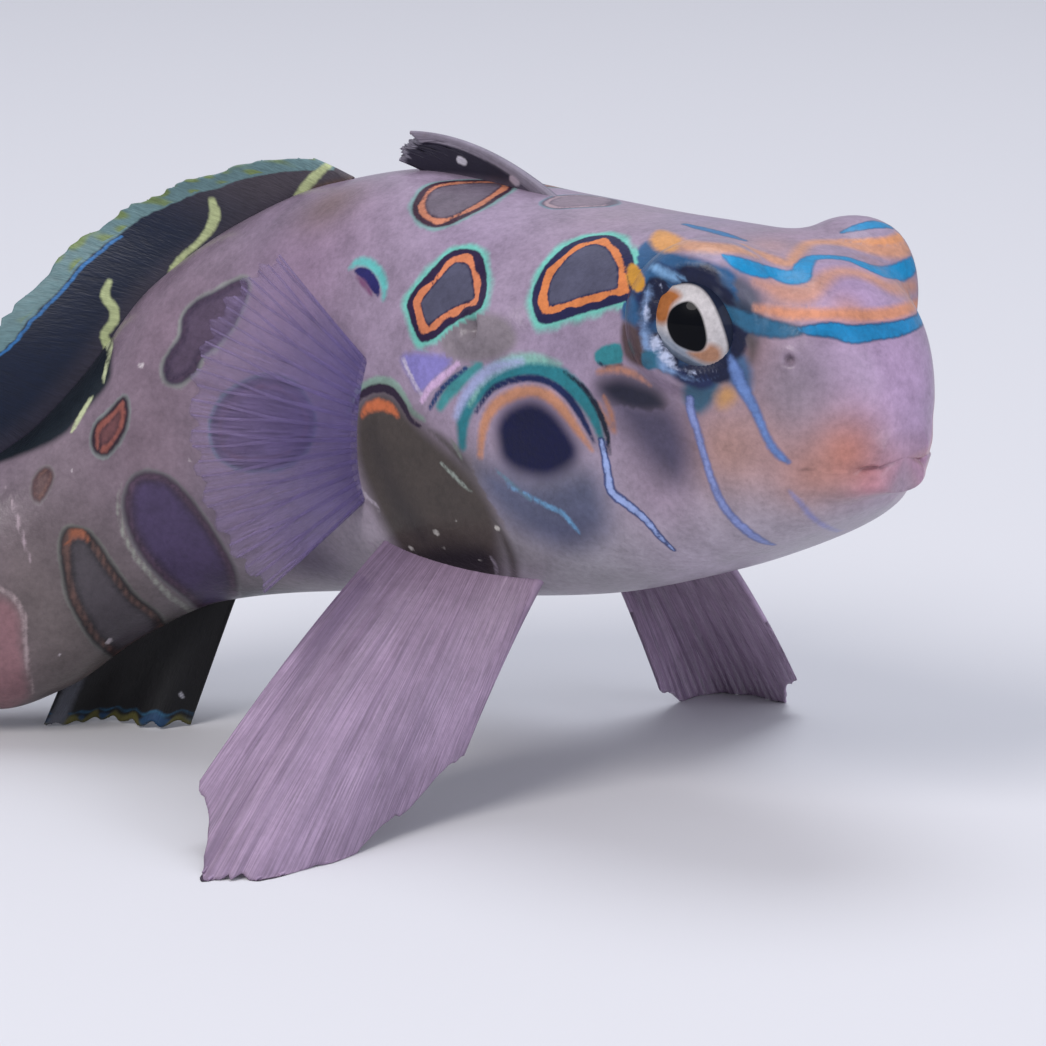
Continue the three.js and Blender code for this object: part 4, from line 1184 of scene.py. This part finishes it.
def paint_rear(ring, fill, stroke):
    ring([(246, 279), (234, 281), (216, 291), (197, 300), (183, 316), (180, 336), (170, 350), (163, 366), (166, 382),
        (180, 384), (196, 372), (203, 357), (218, 345), (233, 328), (243, 308), (249, 290)], (0.2, 0.1, 0.1, 0.08),
        ((146, 148, 146), (58, 46, 70), (84, 66, 86), (94, 78, 100)), 0.1)
    ring([(212, 440), (211, 420), (220, 402), (236, 387), (256, 378), (280, 378), (302, 392), (314, 420), (306, 450),
        (284, 466), (250, 470), (222, 460)], (0.18, 0.3, 0.14, 0.08), ((96, 126, 140), (40, 34, 60), (96, 62, 80),
        (76, 60, 98)), 0.09)
    stroke("core", [(218, 418), (234, 402), (254, 394), (276, 396)], (2, 4, 4, 2), (74, 58, 84), 0.08)
    stroke("core", [(220, 440), (244, 428), (270, 420), (294, 420)], (3, 4.5, 4, 2), (46, 36, 54), 0.07)
    stroke("core", [(226, 452), (248, 446), (276, 440), (300, 438)], (2, 3.4, 3, 2), (62, 46, 72), 0.08)
    ring([(126, 396), (117, 401), (106, 414), (95, 424), (91, 440), (95, 453), (106, 456), (117, 446), (126, 430),
        (129, 412)], (0.14, 0.16, 0.18, 0.04), ((140, 146, 146), (50, 34, 46), (150, 88, 78), (112, 72, 74)), 0.08)
    ring([(49, 467), (39, 470), (32, 481), (31, 495), (38, 504), (47, 494), (54, 478)], (0.1, 0.12, 0.1, 0.05),
        ((140, 132, 136), (84, 62, 66), (130, 98, 90), (118, 94, 92)), 0.09)
    ring([(73, 526), (63, 530), (59, 548), (62, 574), (67, 598), (79, 622), (96, 646), (122, 662), (150, 658),
        (172, 640), (160, 614), (138, 596), (122, 576), (108, 556), (98, 541), (88, 530)], (0.12, 0.14, 0.2, 0.1),
        ((132, 130, 126), (40, 38, 42), (104, 78, 72), (84, 78, 84)), 0.1)
    stroke("warm", [(66, 548), (70, 536), (80, 534), (92, 543)], (2, 5, 5, 2), (158, 96, 72), 0.1)
    ring([(150, 471), (136, 474), (127, 484), (123, 500), (125, 520), (132, 540), (144, 560), (160, 578), (180, 594),
        (204, 612), (226, 618), (238, 600), (236, 572), (222, 544), (204, 516), (186, 492), (168, 476)],
        (0.12, 0.12, 0.16, 0.1), ((136, 132, 136), (58, 46, 62), (94, 72, 92), (80, 66, 102)), 0.12)
    fill("dark", [(206, 618), (228, 612), (246, 620), (252, 634), (246, 650), (228, 654), (208, 640)], (66, 66, 58),
        0.1)
    stroke("line", [(207, 612), (230, 610), (246, 618), (254, 634), (248, 650)], (1, 2, 2.4, 2.2, 1), (158, 160, 148),
        0.08)
    stroke("line", [(120, 484), (119, 512), (128, 544), (146, 570), (170, 596), (198, 616), (222, 648)],
        (0.8, 2, 2.4, 2.6, 2.8, 2.8, 1), (158, 160, 152), 0.08)
    stroke("line", [(-6, 586), (12, 596), (23, 614), (25, 640), (28, 666), (33, 694)], (1.5, 2.4, 2.4, 2.2, 2, 1),
        (176, 158, 160), 0.08)
    fill("core", [(-60, 600), (-30, 592), (6, 600), (19, 616), (21, 642), (25, 672), (26, 700), (-10, 710),
        (-60, 690)], (150, 112, 118), 0.3)
    stroke("line", [(6, 486), (14, 508), (22, 536), (31, 562)], (0.8, 2, 2, 0.8), (178, 160, 168), 0.07)
    for x, y, size in ((109, 641, 4), (141, 365, 3), (72, 470, 1.4), (190, 460, 1.3), (60, 655, 1.5)):
        stroke("line", [(x - 0.6, y), (x + 0.6, y + 0.4)], size, (206, 196, 200), 0.05)
    # dark skin along the base of the back fin
    fill("dark", [(150, 286), (122, 306), (114, 330), (112, 360), (108, 384), (84, 412), (62, 436), (24, 454),
        (-20, 466), (-20, 440), (24, 420), (66, 388), (96, 350), (120, 316)], (26, 34, 42), 0.2)
    stroke("line", [(104, 338), (110, 348), (107, 364), (103, 382)], (4, 5, 4, 2.5), (198, 206, 164), 0.07)
    stroke("line", [(91, 398), (84, 410), (78, 420), (72, 431)], (3, 4, 3.4, 2), (198, 206, 164), 0.07)
    # marks beyond the frame, on the stalk of the tail
    for outline in (
            [(-40, 500), (-64, 520), (-80, 560), (-96, 600), (-130, 620), (-136, 590), (-116, 550), (-84, 510)],
            [(-150, 560), (-176, 580), (-196, 620), (-230, 640), (-232, 612), (-204, 580), (-176, 556)],
            [(-110, 660), (-140, 664), (-180, 684), (-214, 690), (-208, 664), (-168, 650), (-130, 644)]):
        ring(outline, (0.24, 0.16, 0.22, 0.04), ((146, 152, 148), (42, 36, 46), (150, 98, 80), (90, 80, 86)), 0.07)


def paint_skin(canvas, grid, behind):
    ring, fill, stroke = canvas.ring, canvas.fill, canvas.stroke
    paint_flank(ring, fill, stroke)
    paint_gill_cover(fill, stroke)
    paint_face(fill, stroke)
    paint_round_eye(fill, stroke)
    paint_lids(canvas)
    paint_lower_side(fill, stroke)
    paint_rear(ring, fill, stroke)
    return base_tints(canvas, grid, behind)


# Soft tints of the bare skin, and a painted shadow low on the belly: pixel place, radius in millimetres, tint and
# share
SKIN_TINT_AND_SHADOW_SWELLS = (
    (902, 380, 3.0, (190, 160, 196), 0.85), (850, 290, 1.6, (176, 148, 184), 0.85),
    (893, 476, 1.1, (206, 146, 174), 0.9), (925, 470, 1.0, (204, 148, 180), 0.9),
    (905, 488, 0.9, (200, 144, 172), 0.8), (872, 484, 0.8, (202, 142, 160), 0.8),
    (915, 440, 1.2, (200, 150, 186), 0.7), (842, 452, 1.2, (204, 128, 108), 0.85),
    (808, 470, 1.2, (188, 132, 116), 0.7), (762, 432, 1.5, (184, 140, 132), 0.75),
    (722, 450, 1.3, (186, 142, 128), 0.75), (668, 440, 0.9, (170, 128, 124), 0.5),
    (790, 392, 1.6, (144, 132, 146), 0.75), (735, 345, 1.0, (150, 112, 104), 0.7),
    (658, 490, 1.6, (156, 134, 156), 0.6), (790, 236, 1.8, (160, 136, 154), 0.7),
    (720, 215, 1.6, (128, 128, 158), 0.5), (700, 570, 2.2, (196, 180, 202), 0.6),
    (590, 575, 2.4, (170, 168, 172), 0.6), (560, 510, 1.6, (116, 118, 138), 0.6),
    (620, 215, 2.0, (172, 152, 166), 0.5), (470, 235, 2.2, (166, 146, 174), 0.6),
    (560, 345, 2.2, (166, 148, 176), 0.6), (320, 240, 2.4, (160, 132, 158), 0.5),
    (280, 230, 1.8, (126, 108, 128), 0.6), (330, 205, 1.2, (112, 92, 88), 0.7), (290, 300, 2.2, (158, 130, 158), 0.5),
    (170, 320, 3.0, (136, 114, 130), 0.7), (140, 450, 2.6, (136, 116, 128), 0.7),
    (60, 450, 2.0, (140, 124, 134), 0.6), (40, 600, 3.0, (104, 98, 92), 0.8), (110, 680, 2.2, (120, 112, 106), 0.7),
    # (260, 600) is a painted shadow low on the belly, near the pelvic fins' base
    (160, 640, 1.6, (70, 70, 66), 0.8), (260, 600, 1.8, (52, 50, 56), 0.85), (780, 300, 0.9, (190, 150, 146), 0.7),
    (905, 292, 0.8, (200, 150, 150), 0.7), (470, 480, 0.9, (112, 108, 112), 0.6),
    (512, 548, 1.1, (112, 110, 112), 0.6), (80, 560, 2.4, (106, 94, 98), 0.6), (655, 440, 1.1, (132, 118, 138), 0.6),
    (850, 312, 0.6, (206, 150, 140), 0.7), (770, 246, 0.9, (190, 150, 146), 0.6), (310, 560, 1.5, (84, 74, 98), 0.7),
    (240, 520, 1.6, (104, 88, 112), 0.6), (-60, 620, 3.5, (124, 108, 112), 0.8),
    (-160, 680, 4.0, (132, 114, 118), 0.8),
)


def base_tints(canvas, grid, behind):
    """Skin between the marks: paler below, browner towards the tail, with soft swells of tint and a painted shadow
    low on the belly.
    """
    points = canvas.points
    height = points[:, 2]
    back = np.repeat(back_at(behind), grid.shape[1])
    belly = np.repeat(belly_at(behind), grid.shape[1])
    level = (height - belly) / (back - belly)
    rear = np.repeat(smooth_step(20, 36, behind), grid.shape[1])[:, None]
    upper = mix(np.array([162, 144, 166.]), np.array([130, 114, 128.]), rear)
    lower = mix(np.array([180, 170, 182.]), np.array([112, 102, 104.]), rear)
    colour = mix(lower, upper, smooth_step(0.05, 0.6, level)[:, None])
    places = canvas.lay([(swell[0], swell[1]) for swell in SKIN_TINT_AND_SHADOW_SWELLS])
    for spot, (_, _, radius, tint, share) in zip(places, SKIN_TINT_AND_SHADOW_SWELLS):
        away = ((points - spot) ** 2).sum(1)
        colour = mix(colour, np.array(tint, float), (share * np.exp(-away / radius ** 2))[:, None])
    return linear(colour).reshape(grid.shape)


# Paint of the fins
def even_tint(shape, tint):
    return np.broadcast_to(linear(tint), (*shape, 3)).copy()


def paint_first_dorsal(canvas, u, v, edge):
    ragged = wander(edge.shape, (26, 3), 5) * 0.16
    canvas.cover("halo", 0.3 + ragged - edge, 0.12, (138, 134, 148))
    canvas.cover("halo", (0.12 - u) * 4 + ragged, 0.16, (150, 142, 158))
    canvas.stroke("line", [(462, 159), (466, 161)], 4, (226, 222, 234), 0.05)
    canvas.stroke("line", [(515, 178), (519, 181)], 4, (196, 180, 196), 0.06)
    for x, y in ((425, 135), (410, 132)):
        canvas.stroke("line", [(x, y), (x + 2, y + 1)], 1.6, (150, 140, 152), 0.06)
    return mix(even_tint(edge.shape, (40, 36, 56)), linear((96, 86, 104)), smooth_step(0.2, 0.0, v)[..., None])


def paint_second_dorsal(canvas, u, v, edge):
    uneven = wander(edge.shape, (22, 4), 3) * 0.12
    canvas.cover("halo", 0.86 + uneven - edge, 0.07, (112, 146, 150))
    canvas.cover("dark", 0.07 - np.abs(edge - 0.98 - uneven) - 0.1 * (u < 0.45), 0.05, (52, 124, 190))
    for seed in range(20, 24):
        swell = wander(edge.shape, (30, 5), seed)
        canvas.cover("warm", np.where(edge < 0.75, swell - 0.62, -1), 0.2, (128, 150, 96))
    for path, width in (
            ([(329, 165), (316, 176), (305, 188), (292, 204)], (3, 5, 5, 3)),
            ([(213, 200), (216, 214), (211, 228), (198, 244), (184, 256), (176, 268), (171, 280)],
             (4, 6, 5, 3, 3, 5, 4)),
            ([(110, 282), (106, 296), (114, 308), (115, 320), (105, 334), (110, 348), (107, 364), (103, 382)],
             (3, 5, 5, 5, 4, 6, 4, 3)),
            ([(91, 398), (84, 410), (78, 420), (72, 431)], (3, 4.5, 4, 2))):
        canvas.stroke("line", path, width, (202, 214, 158), 0.07)
    canvas.fill("core", [(312, 190), (345, 180), (378, 184), (372, 200), (348, 216), (318, 214)], (112, 84, 66), 0.2)
    front = smooth_step(0.42, 0.15, u)[..., None]
    dark = mix(even_tint(edge.shape, (10, 26, 54)), linear((88, 80, 88)), front * 0.8)
    return mix(dark, linear((70, 64, 78)), (smooth_step(0.25, 0.0, v)[..., None]) * 0.6)


def paint_anal(canvas, u, v, edge):
    swell = wander(edge.shape, (12, 3), 9)
    canvas.cover("halo", 0.2 + swell * 0.25 - edge, 0.12, (38, 74, 112))
    canvas.cover("dark", 0.16 - swell * 0.25 - edge, 0.12, (96, 92, 46))
    canvas.cover("line", 0.03 + 0.03 * swell - np.abs(edge - 0.42), 0.08, (44, 96, 130))
    canvas.cover("line", (0.06 - np.abs(u - 0.93)) * 3, 0.1, (92, 94, 104))
    canvas.stroke("line", [(180, 693), (182, 696)], 2, (190, 190, 200), 0.05)
    return even_tint(edge.shape, (14, 14, 18))


def paint_tail_fin(canvas, u, v, edge):
    rng = np.random.default_rng(4)
    canvas.cover("halo", 0.5 - edge + 0.15 * wander(edge.shape, (18, 3), 2), 0.1, (96, 138, 156))
    for _ in range(26):
        spot_u, spot_v, size = rng.uniform(0.05, 0.95), rng.uniform(0.08, 0.9), rng.uniform(0.25, 0.6)
        away = np.hypot((u - spot_u) * 6, (v - spot_v) * 11)
        canvas.cover("halo", size + 0.14 - away, 0.08, (140, 158, 152))
        canvas.cover("dark", size - away, 0.08, (56, 50, 62))
        canvas.cover("warm", size * 0.55 - away, 0.08, (158, 104, 82))
    return mix(even_tint(edge.shape, (128, 112, 128)), linear((150, 134, 160)), v[..., None].clip(0, 1))


def paint_pectoral(canvas, u, v, edge):
    base = mix(even_tint(edge.shape, (128, 112, 174)), linear((158, 138, 182)), smooth_step(0.1, 0.9, v)[..., None])
    return mix(base, linear((96, 80, 140)), (0.6 * smooth_step(0.3, 0.6, u) * smooth_step(0.9, 0.2, v))[..., None])


def paint_pelvic(canvas, u, v, edge):
    streaks = wander(edge.shape, (46, 3), 31)
    rear = smooth_step(0.6, 0.95, u)
    canvas.cover("dark", streaks * 0.4 - 0.5 + 0.3 * rear - 0.5 * (v < 0.15), 0.5, (120, 98, 130))
    base = mix(even_tint(edge.shape, (168, 144, 170)), linear((194, 168, 198)), smooth_step(0.1, 0.7, v)[..., None])
    return mix(base, linear((120, 100, 128)), (0.6 * rear * smooth_step(0.8, 0.2, v))[..., None])


bpy.context.scene.view_settings.view_transform = "Standard"
set_camera()
set_floor()
set_lights()

make_skin(skin_finish(), paint_skin)
make_eyes(eye_finish())
dark_finish = (fin_finish("dark_membrane", 1, 1), fin_finish("dark_rays", 1, 1, 0.15))
lilac_finish = (fin_finish("lilac_membrane", 0.92, 0.8), fin_finish("pale_rays", 1, 1, 0.15))
thin_finish = (fin_finish("thin_membrane", 0.5, 0.2), fin_finish("thin_rays", 0.5, 0.4, 0.15))
make_fin(
    "first_dorsal", "first_dorsal_fin", "dark_fin", dark_finish, paint_first_dorsal,
    Fin(first_dorsal, 4, ragged=0.12, seed=3), thick=(0.3, 0.12), points=(73, 60), ray_radius=(0.16, 0.07))
make_fin(
    "second_dorsal", "second_dorsal_fin", "dark_fin", dark_finish, paint_second_dorsal,
    Fin(second_dorsal, 9, ragged=0.05, seed=5), thick=(0.3, 0.12), points=(241, 60), ray_radius=(0.15, 0.05),
    forks=(0.45,))
make_fin(
    "anal", "anal_fin", "dark_fin", dark_finish, paint_anal, Fin(anal, 8), thick=(0.3, 0.14), points=(141, 50),
    ray_radius=(0.14, 0.06), forks=(0.45,))
make_fin(
    "tail", "tail_fin", "pale_fin", lilac_finish, paint_tail_fin, Fin(tail_fin, 10, sink=0.3), thick=(0.3, 0.12),
    points=(181, 90), ray_radius=(0.18, 0.05), forks=(0.35, 0.7))
for hand, word, tips in ((1, "right", RIGHT_TIPS), (-1, "left", LEFT_TIPS)):
    make_fin(
        "pectoral_" + word, "pectoral_fin_" + word, "pale_fin", thin_finish, paint_pectoral,
        Fin(pectoral(hand), 15, ragged=0.03), thick=(0.2, 0.08), points=(169, 50), ray_radius=(0.1, 0.04),
        forks=(0.5,))
    make_fin(
        "pelvic_" + word, "pelvic_fin_" + word, "pale_fin", lilac_finish, paint_pelvic,
        Fin(pelvic(hand, tips), 6, ragged=0.03, seed=8), thick=(0.32, 0.12), points=(181, 80),
        ray_radius=(0.19, 0.05), forks=(0.3, 0.62))
